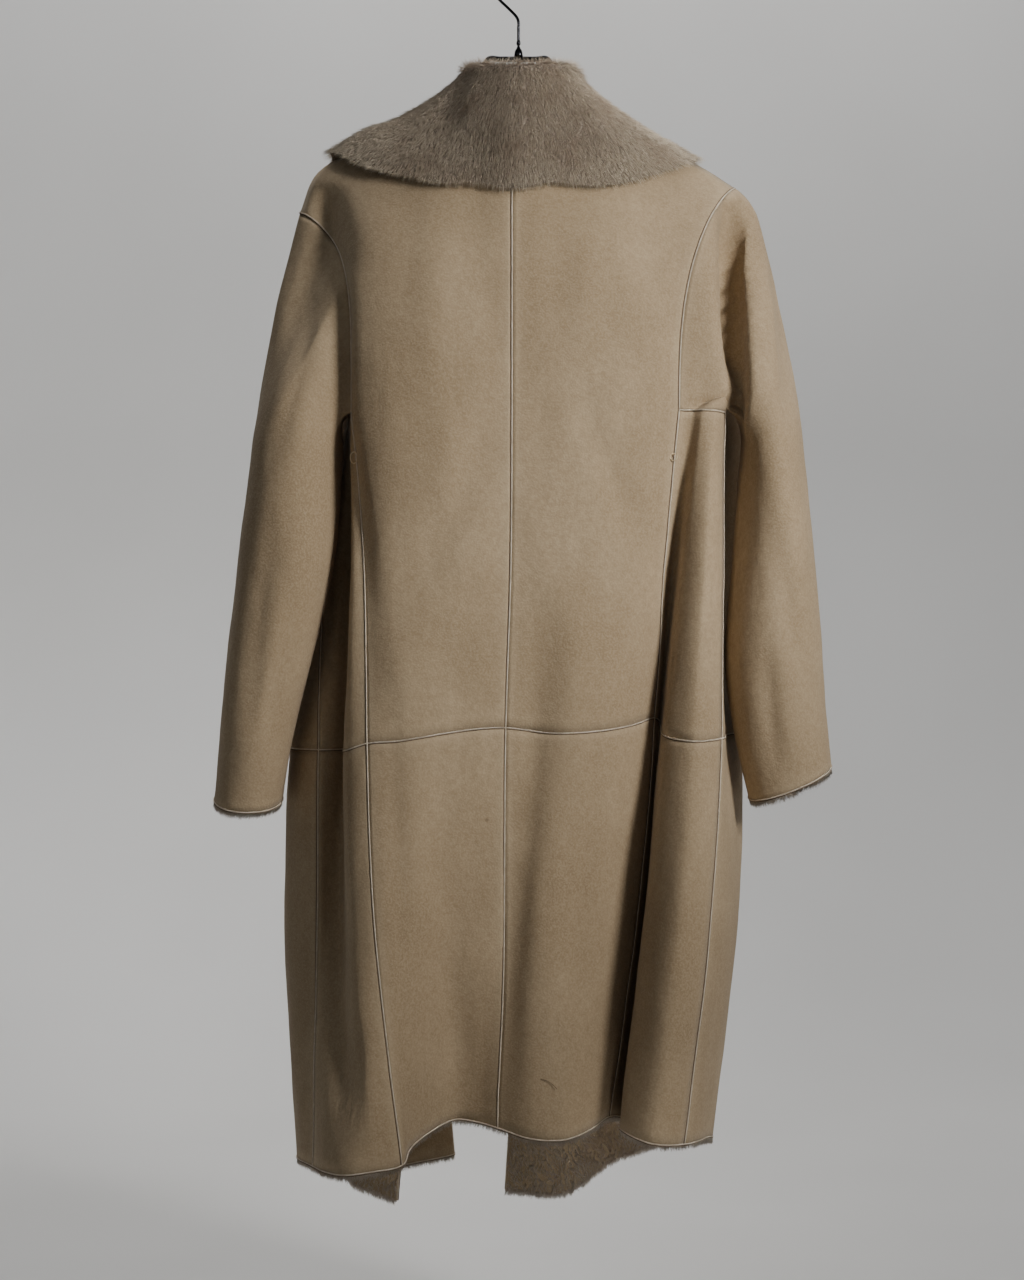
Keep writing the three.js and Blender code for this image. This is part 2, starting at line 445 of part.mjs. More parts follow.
// The collar's stations in order from the nape round to the front. seam is a place on the body's edge
// and edge the place that the collar's free edge lies over, each as a line, columns beyond it and a
// row. height is the crest of the roll above the seam, lean how far its middle leans in over the
// seam, roll its radius, neck how much of the station stands up from the neck rather than turning
// over a front edge, and lift the height of the fall over the body near the roll, midway and at the
// edge.
const COLLAR = {
  left: [
    { seam: ['backCentre', 0, 0], edge: ['backCentre', 0, 4.2],
      height: 46, lean: -16, roll: 11, neck: 1, lift: [23, 13, 8] },
    { seam: ['backCentre', -0.7, 0], edge: ['leftNeck', -0.7, 4.3],
      height: 46, lean: -12, roll: 11, neck: 1, lift: [23, 13, 8] },
    { seam: ['leftNeck', 0.7, 0], edge: ['leftBlade', -0.3, 3],
      height: 44, lean: -1, roll: 10, neck: 1, lift: [20, 14, 9] },
    { seam: ['leftNeck', 0.2, 0], edge: ['leftEdgeFold', 0.9, 1.8],
      height: 39, lean: 12, roll: 8, neck: 1, lift: [17, 17, 13] },
    { seam: ['leftNeck', 0, 0], edge: ['leftEdgeFold', 0.42, 0],
      height: 32, lean: 17, roll: 7.5, neck: 1, lift: [15, 18, 14] },
  ],
  leftFront: [
    { seam: ['leftFrontMiddle', 0, 0], edge: ['leftTurn', -0.42, 0],
      height: 32, lean: 17, roll: 7.5, neck: 1, lift: [15, 18, 14] },
    { seam: ['leftFrontMiddle', -0.6, 0], edge: ['leftTurn', -0.4, 1.6],
      height: 29, lean: 8, roll: 8, neck: 1, lift: [14, 14, 11] },
    { seam: ['leftFoldOut', 1, 0], edge: ['leftFrontSide', 0.8, 3.4],
      height: 26, lean: -2, roll: 9, neck: 1, lift: [12, 11, 10] },
    { seam: ['leftFoldOut', -1, 0], edge: ['leftFrontSide', 0, 5.2],
      height: 21, lean: -9, roll: 8, neck: 0.8, lift: [12, 10, 9.5] },
    { seam: ['leftFrontEdge', 0, 0], edge: ['leftFrontSide', -1, 6.8],
      height: 17, lean: -4, roll: 7.5, neck: 0.4, lift: [10, 9.5, 9.5] },
    { seam: ['leftFrontEdge', 0, 2], edge: ['leftFrontSide', -1.6, 8.2],
      height: 15, lean: -2.5, roll: 7, neck: 0, lift: [9.5, 9.5, 9.5] },
    { seam: ['leftFrontEdge', 0, 4], edge: ['leftFrontMiddle', 1.2, 9.5],
      height: 15, lean: -2.5, roll: 7, neck: 0, lift: [9.5, 9.5, 9.5] },
    { seam: ['leftFrontEdge', 0, 6], edge: ['leftFrontMiddle', 0.9, 10.7],
      height: 15, lean: -2.5, roll: 7, neck: 0, lift: [9.5, 9.5, 9.5] },
    { seam: ['leftFrontEdge', 0, 8], edge: ['leftFrontMiddle', 0.4, 11.8],
      height: 15, lean: -2.5, roll: 7, neck: 0, lift: [9.5, 9.5, 9.5] },
    { seam: ['leftFrontEdge', 0, 10], edge: ['leftFoldOut', 2.6, 13],
      height: 15, lean: -2.5, roll: 7, neck: 0, lift: [9.5, 9.5, 9.5] },
    { seam: ['leftFrontEdge', 0, 12], edge: ['leftFoldOut', 1.7, 14.1],
      height: 15, lean: -2.5, roll: 7, neck: 0, lift: [9.5, 9.5, 9.5] },
    { seam: ['leftFrontEdge', 0, 14], edge: ['leftFoldOut', 0.5, 15.2],
      height: 15, lean: -2.5, roll: 7, neck: 0, lift: [9.5, 9.5, 9.5] },
    { seam: ['leftFrontEdge', 0, 16], edge: ['leftFoldBack', 1.4, 16.3],
      height: 15, lean: -2.5, roll: 7, neck: 0, lift: [9.5, 9.5, 9.5] },
    { seam: ['leftFrontEdge', 0, 17], edge: ['leftFoldBack', 0.3, 17.1],
      height: 15, lean: -2.5, roll: 7, neck: 0, lift: [9.5, 9.5, 9.5] },
  ],
  right: [
    { seam: ['backCentre', 0, 0], edge: ['backCentre', 0, 4.2],
      height: 46, lean: -16, roll: 11, neck: 1, lift: [23, 13, 8] },
    { seam: ['backCentre', 0.7, 0], edge: ['rightNeck', 0.5, 4.4],
      height: 46, lean: -15, roll: 11, neck: 1, lift: [24, 14, 8] },
    { seam: ['rightNeck', -0.7, 0], edge: ['rightBlade', 0.3, 3.2],
      height: 44, lean: -12, roll: 11, neck: 1, lift: [24, 14, 9] },
    { seam: ['rightNeck', -0.2, 0], edge: ['rightEdgeFold', -0.3, 1.2],
      height: 39, lean: -5, roll: 11, neck: 1, lift: [20, 14, 9] },
    { seam: ['rightNeck', 0, 0], edge: ['rightEdgeFold', 0, 0],
      height: 33, lean: 0, roll: 11, neck: 1, lift: [17, 13, 9] },
  ],
  rightFront: [
    { seam: ['rightFrontMiddle', 0, 0], edge: ['rightTurn', 0, 0],
      height: 33, lean: 0, roll: 11, neck: 1, lift: [17, 13, 9] },
    { seam: ['rightFrontMiddle', 0.6, 0], edge: ['rightTurn', 0.3, 1.6],
      height: 30, lean: -6, roll: 10, neck: 1, lift: [15, 11, 9] },
    { seam: ['rightFoldOut', -0.7, 0], edge: ['rightFrontSide', -0.7, 3.4],
      height: 27, lean: -11, roll: 9, neck: 1, lift: [14, 11, 10] },
    { seam: ['rightFoldOut', 1, 0], edge: ['rightFrontSide', 0.3, 5.2],
      height: 21, lean: -9, roll: 8, neck: 0.8, lift: [12, 10, 9.5] },
    { seam: ['rightFrontEdge', 0, 0], edge: ['rightFrontSide', 1.2, 6.8],
      height: 17, lean: -4, roll: 7.5, neck: 0.4, lift: [10, 9.5, 9.5] },
    { seam: ['rightFrontEdge', 0, 2], edge: ['rightFrontSide', 2, 8.2],
      height: 15, lean: -2.5, roll: 7, neck: 0, lift: [9.5, 9.5, 9.5] },
    { seam: ['rightFrontEdge', 0, 4], edge: ['rightFrontMiddle', -0.8, 9.5],
      height: 15, lean: -2.5, roll: 7, neck: 0, lift: [9.5, 9.5, 9.5] },
    { seam: ['rightFrontEdge', 0, 6], edge: ['rightFrontMiddle', -0.6, 10.7],
      height: 15, lean: -2.5, roll: 7, neck: 0, lift: [9.5, 9.5, 9.5] },
    { seam: ['rightFrontEdge', 0, 8], edge: ['rightFrontMiddle', -0.2, 11.8],
      height: 15, lean: -2.5, roll: 7, neck: 0, lift: [9.5, 9.5, 9.5] },
    { seam: ['rightFrontEdge', 0, 10], edge: ['rightFoldOut', -1.7, 13],
      height: 15, lean: -2.5, roll: 7, neck: 0, lift: [9.5, 9.5, 9.5] },
    { seam: ['rightFrontEdge', 0, 12], edge: ['rightFoldOut', -1.1, 14.1],
      height: 15, lean: -2.5, roll: 7, neck: 0, lift: [9.5, 9.5, 9.5] },
    { seam: ['rightFrontEdge', 0, 14], edge: ['rightFoldOut', -0.3, 15.2],
      height: 15, lean: -2.5, roll: 7, neck: 0, lift: [9.5, 9.5, 9.5] },
    { seam: ['rightFrontEdge', 0, 16], edge: ['rightFoldBack', 0.7, 16.3],
      height: 15, lean: -2.5, roll: 7, neck: 0, lift: [9.5, 9.5, 9.5] },
    { seam: ['rightFrontEdge', 0, 17], edge: ['rightFrontEdge', -0.6, 17.1],
      height: 15, lean: -2.5, roll: 7, neck: 0, lift: [9.5, 9.5, 9.5] },
  ],
};
const COLLAR_STEPS = 2;                      // columns between two of its stations
const NECK_MIDDLE = new THREE.Vector3(-6, 4, 0);

/** A value of one of the body's grids between its points, at a column and row. */
function between(values, column, row) {
  const [c, r] = [Math.floor(column), Math.floor(row)];
  const [across, down] = [column - c, row - r];
  const corner = (dr, dc) => values[r + dr]?.[c + dc] ?? values[r][c];
  const blend = (dr) => corner(dr, 0).clone().lerp(across > 0 ? corner(dr, 1) : corner(dr, 0), across);
  return down > 0 ? blend(0).lerp(blend(1), down) : blend(0);
}

/** A point of the collar's wool side over a place on the body. */
const lifted = ([column, row], height) => between(GRID, column, row)
  .addScaledVector(between(INWARD, column, row).normalize(), -height);

/** The collar's stations with extra ones between them, as places and sizes. */
function collarRun(stations) {
  const place = ([line, beyond, row]) => new THREE.Vector3(COLUMN[line] + beyond, row, 0);
  const edges = spline(stations.map((station) => place(station.edge)));
  const run = [];
  for (let i = 0; i < stations.length - 1; i += 1) {
    const [here, next] = [stations[i], stations[i + 1]];
    for (let step = 0; step <= COLLAR_STEPS; step += 1) {
      if (step === COLLAR_STEPS && i < stations.length - 2) {
        continue;
      }
      const share = step / COLLAR_STEPS;
      const seam = place(here.seam).lerp(place(next.seam), share);
      const edge = edges.getPoint((i + share) / (stations.length - 1));
      const sizes = {};
      for (const size of ['height', 'lean', 'roll', 'neck']) {
        sizes[size] = mix(here[size], next[size], share);
      }
      sizes.lift = here.lift.map((value, k) => mix(value, next.lift[k], share));
      run.push({ seam: [seam.x, seam.y], edge: [edge.x, Math.max(edge.y, 0)], ...sizes });
    }
  }
  return run;
}

/** The seam's own directions at a station: up out of the seam, and in to the neck or the body. */
function seamFrame(run, i) {
  const point = (k) => between(GRID, ...run[k].seam);
  const here = point(i);
  const along = point(Math.min(i + 1, run.length - 1)).sub(point(Math.max(i - 1, 0)));
  const inward = between(INWARD, ...run[i].seam).normalize();
  const outOfSeam = along.cross(inward).normalize();
  const toMiddle = NECK_MIDDLE.clone().sub(here).setZ(0).normalize();
  const { neck } = run[i];
  return {
    here,
    up: outOfSeam.lerp(new THREE.Vector3(0, 0, 1), neck).normalize(),
    into: inward.lerp(toMiddle, neck).normalize(),
  };
}

/** The wool side of the collar, as a grid from the seam over the roll to the free edge. */
function collarGrid() {
  const left = [...collarRun(COLLAR.left), ...collarRun(COLLAR.leftFront).slice(1)].reverse();
  const right = [...collarRun(COLLAR.right), ...collarRun(COLLAR.rightFront).slice(1)];
  const run = [...left, ...right.slice(1)];
  const columns = run.map(({ seam, edge, height, lean, roll, lift }, i) => {
    const { here, up, into } = seamFrame(run, i);
    const off = (rise, inwards) => here.clone().addScaledVector(up, rise).addScaledVector(into, inwards);
    const arc = [0, 45, 90, 135, 180].map((degrees) => {
      const angle = THREE.MathUtils.degToRad(degrees);
      return off(height - roll + roll * Math.sin(angle), lean + roll * Math.cos(angle));
    });
    const foot = off(0.8, WALL + 0.5);
    const over = (share) => [mix(seam[0], edge[0], share), mix(seam[1], edge[1], share)];
    const fall = spline([
      arc[4],
      lifted(over(0.42), lift[0]),
      lifted(over(0.72), lift[1]),
      lifted(edge, lift[2]),
    ]).getPoints(5);
    return { into, points: [foot, ...arc, ...fall.slice(1)] };
  });
  const points = columns[0].points.map((_, row) => columns.map((column) => column.points[row]));
  const inward = inwardGrid(points);
  inward[0].forEach((direction, i) => direction.copy(columns[i].into).negate());
  return { points, inward, nape: left.length - 1 };
}

/** A part of the collar, from one of its columns to another. */
function collarPart({ points, inward }, first, last, free) {
  const cut = (grid) => grid.map((row) => row.slice(first, last + 1));
  const outer = drawnIn(cut(points), { top: true, bottom: true, ...free });
  const directions = cut(inward);
  return wall(outer, outer.map((row, i) => row.map((p, k) => p.clone().addScaledVector(directions[i][k], COLLAR_WALL))));
}
const COLLAR_GRID = collarGrid();
piece('collar_left', collarPart(COLLAR_GRID, 0, COLLAR_GRID.nape, { left: true }), WOOL);
piece('collar_right', collarPart(COLLAR_GRID, COLLAR_GRID.nape, COLLAR_GRID.points[0].length - 1, { right: true }), WOOL);

// The hanger is one rod, bent down from a short level bar into two arms that lie under the shoulder
// seams. Its hook turns in a swivel over the bar.
const ROD_RADIUS = 3;
const BAR_HEIGHT = -99.8;
const REST_GAP = 1.8;        // room over the rod for the fold of cloth that hangs on it
const HOOK_RADIUS = 1.5;
const CROWN_RADIUS = 25;     // of the hook's centre line
const CROWN_HEIGHT = HOOK_RADIUS - CROWN_RADIUS;

/** A closed round rod along a curve that lies across the coat. */
function rod(points, radius, steps, sides) {
  const curve = spline(points);
  const rings = [];
  for (let step = 0; step <= steps; step += 1) {
    const centre = curve.getPointAt(step / steps);
    const tangent = curve.getTangentAt(step / steps);
    const side = new THREE.Vector3(-tangent.z, 0, tangent.x);
    rings.push(Array.from({ length: sides }, (_, i) => {
      const angle = 2 * Math.PI * i / sides;
      return centre.clone().addScaledVector(side, radius * Math.cos(angle))
        .add(new THREE.Vector3(0, radius * Math.sin(angle), 0));
    }));
  }
  const positions = rings.flat().concat(curve.getPoint(0), curve.getPoint(1)).flatMap((p) => [p.x, p.y, p.z]);
  const [first, last] = [rings.length * sides, rings.length * sides + 1];
  const index = [];
  for (let i = 0; i < sides; i += 1) {
    const next = (i + 1) % sides;
    for (let ring = 0; ring < steps; ring += 1) {
      const [a, b] = [ring * sides, (ring + 1) * sides];
      index.push(a + i, b + i, b + next, a + i, b + next, a + next);
    }
    index.push(first, i, next, last, steps * sides + next, steps * sides + i);
  }
  const geometry = new THREE.BufferGeometry();
  geometry.setAttribute('position', new THREE.Float32BufferAttribute(positions, 3));
  geometry.setIndex(index);
  return geometry;
}

/** The points of an arm that lie under one shoulder seam, from the neck outwards. */
function underShoulder(side) {
  const away = side === 'left' ? -1 : 1;
  const points = [];
  for (let column = COLUMN[`${side}Neck`] + away; column !== COLUMN[`${side}EdgeFold`] + away; column += away) {
    points.push(GRID[0][column].clone().addScaledVector(INWARD[0][column], WALL + REST_GAP + ROD_RADIUS));
  }
  return points;
}

const across = (x, z) => new THREE.Vector3(x, 0, z);
piece('hanger_arms', rod([
  ...underShoulder('left').reverse(), across(-64, -158), across(-47, -143), across(-37, -117), across(-29, BAR_HEIGHT),
  across(-18, BAR_HEIGHT), across(18, BAR_HEIGHT),
  across(29, BAR_HEIGHT), across(36, -115), across(42, -140), across(55, -159), ...underShoulder('right'),
], ROD_RADIUS, 48, 8), STEEL);

/** The hook: round the crown from its open end, then down the slant and the straight shank. */
function hookPoints() {
  const points = [];
  for (let degrees = -20; degrees <= 220; degrees += 20) {
    const angle = THREE.MathUtils.degToRad(degrees);
    points.push(across(CROWN_RADIUS * Math.cos(angle), CROWN_HEIGHT + CROWN_RADIUS * Math.sin(angle)));
  }
  return [...points, across(-9.5, -49), across(-1.5, -57.5), across(0.4, -62), across(0.5, -70), across(0.5, -81.08)];
}
piece('hanger_hook', rod(hookPoints(), HOOK_RADIUS, 42, 8), STEEL);

/** A turned part about the shank: half widths and heights from its foot to its top. */
function turned(profile) {
  const points = profile.map(([radius, height]) => new THREE.Vector2(radius, height));
  return new THREE.LatheGeometry(points, 12).rotateX(Math.PI / 2).translate(0.5, 0, 0);
}
piece('hanger_swivel', turned([
  [0, -96.78], [4.2, -96.78], [4.2, -94.5], [3.6, -91.5], [2, -89], [1.2, -87], [1.2, -86.2],
  [2, -85.2], [2.2, -83.6], [1.8, -82], [1.1, -81.1], [0, -81.1],
]), STEEL);
piece('hanger_rivet', turned([[0, -105.6], [1.4, -105.4], [2, -104.2], [2, -102.82], [0, -102.82]]), STEEL);

export default coat;
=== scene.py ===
"""A knee-length shearling coat on a wire hanger, dressed for its picture.

The cloth is drawn as the part's source draws it, from the same lines, sleeve sections and collar
stations, on a finer grid. Sizes are in millimetres and become metres where a mesh is made. The back
of the coat faces -Y, and left and right are as seen from behind it.
"""
import logging
import math
from dataclasses import dataclass, field
from enum import Enum

import bmesh
import bpy
import numpy as np
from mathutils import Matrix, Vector, noise

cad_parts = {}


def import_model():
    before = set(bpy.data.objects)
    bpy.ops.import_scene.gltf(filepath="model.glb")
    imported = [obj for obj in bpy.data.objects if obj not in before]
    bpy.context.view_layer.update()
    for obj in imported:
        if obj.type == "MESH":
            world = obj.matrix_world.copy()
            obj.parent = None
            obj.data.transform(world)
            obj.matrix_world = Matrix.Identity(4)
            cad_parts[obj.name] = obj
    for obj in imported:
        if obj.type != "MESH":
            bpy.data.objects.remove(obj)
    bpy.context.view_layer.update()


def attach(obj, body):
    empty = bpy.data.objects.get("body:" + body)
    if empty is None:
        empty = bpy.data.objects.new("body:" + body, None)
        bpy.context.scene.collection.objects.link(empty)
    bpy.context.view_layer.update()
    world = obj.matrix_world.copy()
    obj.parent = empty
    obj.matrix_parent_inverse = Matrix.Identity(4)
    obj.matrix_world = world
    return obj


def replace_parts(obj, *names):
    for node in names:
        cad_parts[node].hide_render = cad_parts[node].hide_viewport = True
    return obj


log = logging.getLogger("shearling_coat")

MM = 0.001

# Levels of the body, and the sizes that every piece of cloth shares
UNDERARM = -458.0
WAIST = -604.0
HIP = -772.0
KNEE = -931.0
HEM = -1160.0
HIDE = 3.2
COLLAR_WALL = 6.0
COLLAR_SINK = 2.8
UNDERARM_ROW = 12
HIP_ROW = 20
HEM_ROW = 30


class Side(Enum):
    """Which way a part of the cloth faces."""

    BACK = -1.0
    FRONT = 1.0


@dataclass(frozen=True)
class Line:
    """A line that runs down the body's cloth, with its places at the five levels.

    columns counts the pattern's columns to the next line. A line with a top runs on above the
    underarm to that place, swinging forward by as much as scye on the way.
    """

    name: str
    columns: int
    underarm: tuple[float, float]
    waist: tuple[float, float]
    hip: tuple[float, float, float]
    knee: tuple[float, float]
    hem: tuple[float, float, float]
    top: tuple[float, float, float] | None = None
    scye: float = 0.0
    ease_across: float = 3.2
    ease_deep: float = 3.2


@dataclass(frozen=True)
class Station:
    """A place along the collar: its seam and free edge on the body's pattern, and its roll."""

    seam: tuple[str, float, float]
    edge: tuple[str, float, float]
    height: float
    lean: float
    roll: float
    neck: float
    lift: tuple[float, float, float]


@dataclass(frozen=True)
class Section:
    """A level of a sleeve: its centre, half its width and depth, and how its plane tips."""

    height: float
    across: float
    deep: float
    width: float
    depth: float
    side: float
    forward: float


@dataclass(frozen=True)
class Departure:
    """How a sleeve's cloth leaves the armhole: outwards, down, and how strongly at each end."""

    out: float
    down: float
    pull: float
    arrive: float


@dataclass(frozen=True)
class Crease:
    """A trough (or a ridge, where depth is below nought) in the cloth along a path seen square on.

    steep narrows the wall on the side of +X.
    """

    path: tuple[tuple[float, float], ...]
    depth: float
    half_width: float
    side: Side = Side.BACK
    steep: float = 1.0


BODY_LINES = (
    Line("left_front_edge", 1, (-52, 103), (-65, 94), (-80, 80, 0), (-100, 58), (-122, 22, -86),
         top=(-46, 50, -200)),
    Line("left_fold_back", 3, (-68, 102), (-83, 98), (-96, 90, 0), (-123, 76), (-169, 46, -70),
         top=(-54, 42, -183)),
    Line("left_fold_out", 3, (-85, 101), (-102, 106), (-102, 112, -4), (-89, 112), (-65, 96, -53),
         top=(-60, 32, -165)),
    Line("left_front_middle", 3, (-112, 98), (-138, 104), (-154, 110, -10), (-152, 118), (-133, 118, -55),
         top=(-68, 0, -145)),
    Line("left_front_side", 2, (-167, 72), (-202, 88), (-215, 70, -16), (-224, 70), (-211, 60, -45),
         top=(-123, 0, -174)),
    Line("left_turn", 2, (-179, 26), (-212, 48), (-228, 4, -17), (-231, -8), (-217, -42, -31),
         top=(-200, 0, -213), scye=46),
    Line("left_side_seam", 1, (-168, -8), (-193, 8), (-197, -35, -17), (-197, -46), (-199, -84, -30),
         top=(-218, 0, -253), scye=56),
    Line("left_side_ridge", 1, (-167, -21), (-178, -5), (-184, -30, -17), (-188, -40), (-183, -124, -28)),
    Line("left_side_valley", 1, (-168, -32), (-163, 1), (-171, -14, -17), (-175, -38), (-162, -148, -26)),
    Line("left_back_fold", 2, (-166, -44), (-161, -80), (-166, -92, -15), (-160, -109), (-138, -146, -23)),
    Line("left_princess", 2, (-163, -58), (-149, -86), (-145, -106, -8), (-138, -122), (-111, -130, -20),
         top=(-218, 0, -253), ease_across=4.5, ease_deep=5),
    Line("left_edge_fold", 2, (-155, -84), (-129, -104), (-113, -116, -5), (-109, -122), (-103, -105, -8),
         top=(-200, 0, -213)),
    Line("left_blade", 2, (-83, -108), (-75, -112), (-70, -110, 2), (-71, -98), (-62, -62, 11),
         top=(-123, 0, -174)),
    Line("left_neck", 2, (-42, -106), (-40, -110), (-39, -106, 6), (-42, -92), (-41, -62, 9),
         top=(-68, 0, -145)),
    Line("back_centre", 2, (-6, -104), (-7, -106), (-12, -101, 7), (-14, -92), (-20, -74, 5),
         top=(-6, -46, -162)),
    Line("right_neck", 2, (32, -106), (29, -109), (26, -106, 2), (19, -100), (11, -92, -2),
         top=(56, 0, -145)),
    Line("right_blade", 2, (81, -106), (76, -106), (69, -102, 3), (58, -92), (45, -92, -3),
         top=(116, 0, -178)),
    Line("right_edge_fold", 2, (129, -96), (117, -92), (107, -84, 8), (94, -68), (72, -70, 4),
         top=(182, 0, -207)),
    Line("right_princess", 1, (156, -84), (143, -72), (134, -52, 15), (121, -34), (91, -40, 10),
         top=(217, 0, -229), ease_across=2.7, ease_deep=5),
    Line("right_valley", 2, (169, -78), (152, -56), (140, -34, 10), (129, -10), (104, -12, 4)),
    Line("right_ridge_foot", 2, (179, -84), (162, -84), (143, -84, -2), (127, -88), (100, -84, 5)),
    Line("right_ridge", 1, (190, -80), (181, -98), (169, -106, -6), (156, -122), (128, -118, -2)),
    Line("right_side_seam", 2, (202, -58), (200, -62), (196, -84, -4), (187, -100), (160, -98, -6),
         top=(217, 0, -229), scye=66),
    Line("right_turn", 2, (203, -2), (196, 10), (207, -28, -2), (211, -50), (187, -50, -8),
         top=(182, 0, -207), scye=56),
    Line("right_front_side", 3, (229, 76), (227, 64), (226, 50, -2), (219, 44), (190, 44, -28),
         top=(116, 0, -178), ease_across=1.6),
    Line("right_front_middle", 2, (127, 96), (142, 98), (153, 104, -2), (157, 108), (148, 104, -44),
         top=(56, 0, -145)),
    Line("right_fold_out", 2, (91, 101), (98, 106), (107, 112, 0), (109, 116), (98, 112, -63),
         top=(48, 32, -165)),
    Line("right_fold_back", 2, (65, 102), (63, 104), (60, 104, 0), (54, 96), (45, 70, -88),
         top=(42, 42, -183)),
    Line("right_front_edge", 0, (42, 103), (33, 98), (23, 92, 0), (7, 78), (-13, 46, -80),
         top=(34, 50, -200)),
)
COLLAR_LEFT = (
    Station(("back_centre", 0, 0), ("back_centre", 0, 4.2), 46, -16, 11, 1, (23, 13, 8)),
    Station(("back_centre", -0.7, 0), ("left_neck", -0.7, 4.3), 46, -12, 11, 1, (23, 13, 8)),
    Station(("left_neck", 0.7, 0), ("left_blade", -0.3, 3), 44, -1, 10, 1, (20, 14, 9)),
    Station(("left_neck", 0.2, 0), ("left_edge_fold", 0.9, 1.8), 39, 12, 8, 1, (17, 17, 13)),
    Station(("left_neck", 0, 0), ("left_edge_fold", 0.42, 0), 32, 17, 7.5, 1, (15, 18, 14)),
)
COLLAR_LEFT_FRONT = (
    Station(("left_front_middle", 0, 0), ("left_turn", -0.42, 0), 32, 17, 7.5, 1, (15, 18, 14)),
    Station(("left_front_middle", -0.6, 0), ("left_turn", -0.4, 1.6), 29, 8, 8, 1, (14, 14, 11)),
    Station(("left_fold_out", 1, 0), ("left_front_side", 0.8, 3.4), 26, -2, 9, 1, (12, 11, 10)),
    Station(("left_fold_out", -1, 0), ("left_front_side", 0, 5.2), 21, -9, 8, 0.8, (12, 10, 9.5)),
    Station(("left_front_edge", 0, 0), ("left_front_side", -1, 6.8), 17, -4, 7.5, 0.4, (10, 9.5, 9.5)),
    Station(("left_front_edge", 0, 2), ("left_front_side", -1.6, 8.2), 15, -2.5, 7, 0, (9.5, 9.5, 9.5)),
    Station(("left_front_edge", 0, 4), ("left_front_middle", 1.2, 9.5), 15, -2.5, 7, 0, (9.5, 9.5, 9.5)),
    Station(("left_front_edge", 0, 6), ("left_front_middle", 0.9, 10.7), 15, -2.5, 7, 0, (9.5, 9.5, 9.5)),
    Station(("left_front_edge", 0, 8), ("left_front_middle", 0.4, 11.8), 15, -2.5, 7, 0, (9.5, 9.5, 9.5)),
    Station(("left_front_edge", 0, 10), ("left_fold_out", 2.6, 13), 15, -2.5, 7, 0, (9.5, 9.5, 9.5)),
    Station(("left_front_edge", 0, 12), ("left_fold_out", 1.7, 14.1), 15, -2.5, 7, 0, (9.5, 9.5, 9.5)),
    Station(("left_front_edge", 0, 14), ("left_fold_out", 0.5, 15.2), 15, -2.5, 7, 0, (9.5, 9.5, 9.5)),
    Station(("left_front_edge", 0, 16), ("left_fold_back", 1.4, 16.3), 15, -2.5, 7, 0, (9.5, 9.5, 9.5)),
    Station(("left_front_edge", 0, 17), ("left_fold_back", 0.3, 17.1), 15, -2.5, 7, 0, (9.5, 9.5, 9.5)),
)
COLLAR_RIGHT = (
    Station(("back_centre", 0, 0), ("back_centre", 0, 4.2), 46, -16, 11, 1, (23, 13, 8)),
    Station(("back_centre", 0.7, 0), ("right_neck", 0.5, 4.4), 46, -15, 11, 1, (24, 14, 8)),
    Station(("right_neck", -0.7, 0), ("right_blade", 0.3, 3.2), 44, -12, 11, 1, (24, 14, 9)),
    Station(("right_neck", -0.2, 0), ("right_edge_fold", -0.3, 1.2), 39, -5, 11, 1, (20, 14, 9)),
    Station(("right_neck", 0, 0), ("right_edge_fold", 0, 0), 33, 0, 11, 1, (17, 13, 9)),
)
COLLAR_RIGHT_FRONT = (
    Station(("right_front_middle", 0, 0), ("right_turn", 0, 0), 33, 0, 11, 1, (17, 13, 9)),
    Station(("right_front_middle", 0.6, 0), ("right_turn", 0.3, 1.6), 30, -6, 10, 1, (15, 11, 9)),
    Station(("right_fold_out", -0.7, 0), ("right_front_side", -0.7, 3.4), 27, -11, 9, 1, (14, 11, 10)),
    Station(("right_fold_out", 1, 0), ("right_front_side", 0.3, 5.2), 21, -9, 8, 0.8, (12, 10, 9.5)),
    Station(("right_front_edge", 0, 0), ("right_front_side", 1.2, 6.8), 17, -4, 7.5, 0.4, (10, 9.5, 9.5)),
    Station(("right_front_edge", 0, 2), ("right_front_side", 2, 8.2), 15, -2.5, 7, 0, (9.5, 9.5, 9.5)),
    Station(("right_front_edge", 0, 4), ("right_front_middle", -0.8, 9.5), 15, -2.5, 7, 0, (9.5, 9.5, 9.5)),
    Station(("right_front_edge", 0, 6), ("right_front_middle", -0.6, 10.7), 15, -2.5, 7, 0, (9.5, 9.5, 9.5)),
    Station(("right_front_edge", 0, 8), ("right_front_middle", -0.2, 11.8), 15, -2.5, 7, 0, (9.5, 9.5, 9.5)),
    Station(("right_front_edge", 0, 10), ("right_fold_out", -1.7, 13), 15, -2.5, 7, 0, (9.5, 9.5, 9.5)),
    Station(("right_front_edge", 0, 12), ("right_fold_out", -1.1, 14.1), 15, -2.5, 7, 0, (9.5, 9.5, 9.5)),
    Station(("right_front_edge", 0, 14), ("right_fold_out", -0.3, 15.2), 15, -2.5, 7, 0, (9.5, 9.5, 9.5)),
    Station(("right_front_edge", 0, 16), ("right_fold_back", 0.7, 16.3), 15, -2.5, 7, 0, (9.5, 9.5, 9.5)),
    Station(("right_front_edge", 0, 17), ("right_front_edge", -0.6, 17.1), 15, -2.5, 7, 0, (9.5, 9.5, 9.5)),
)

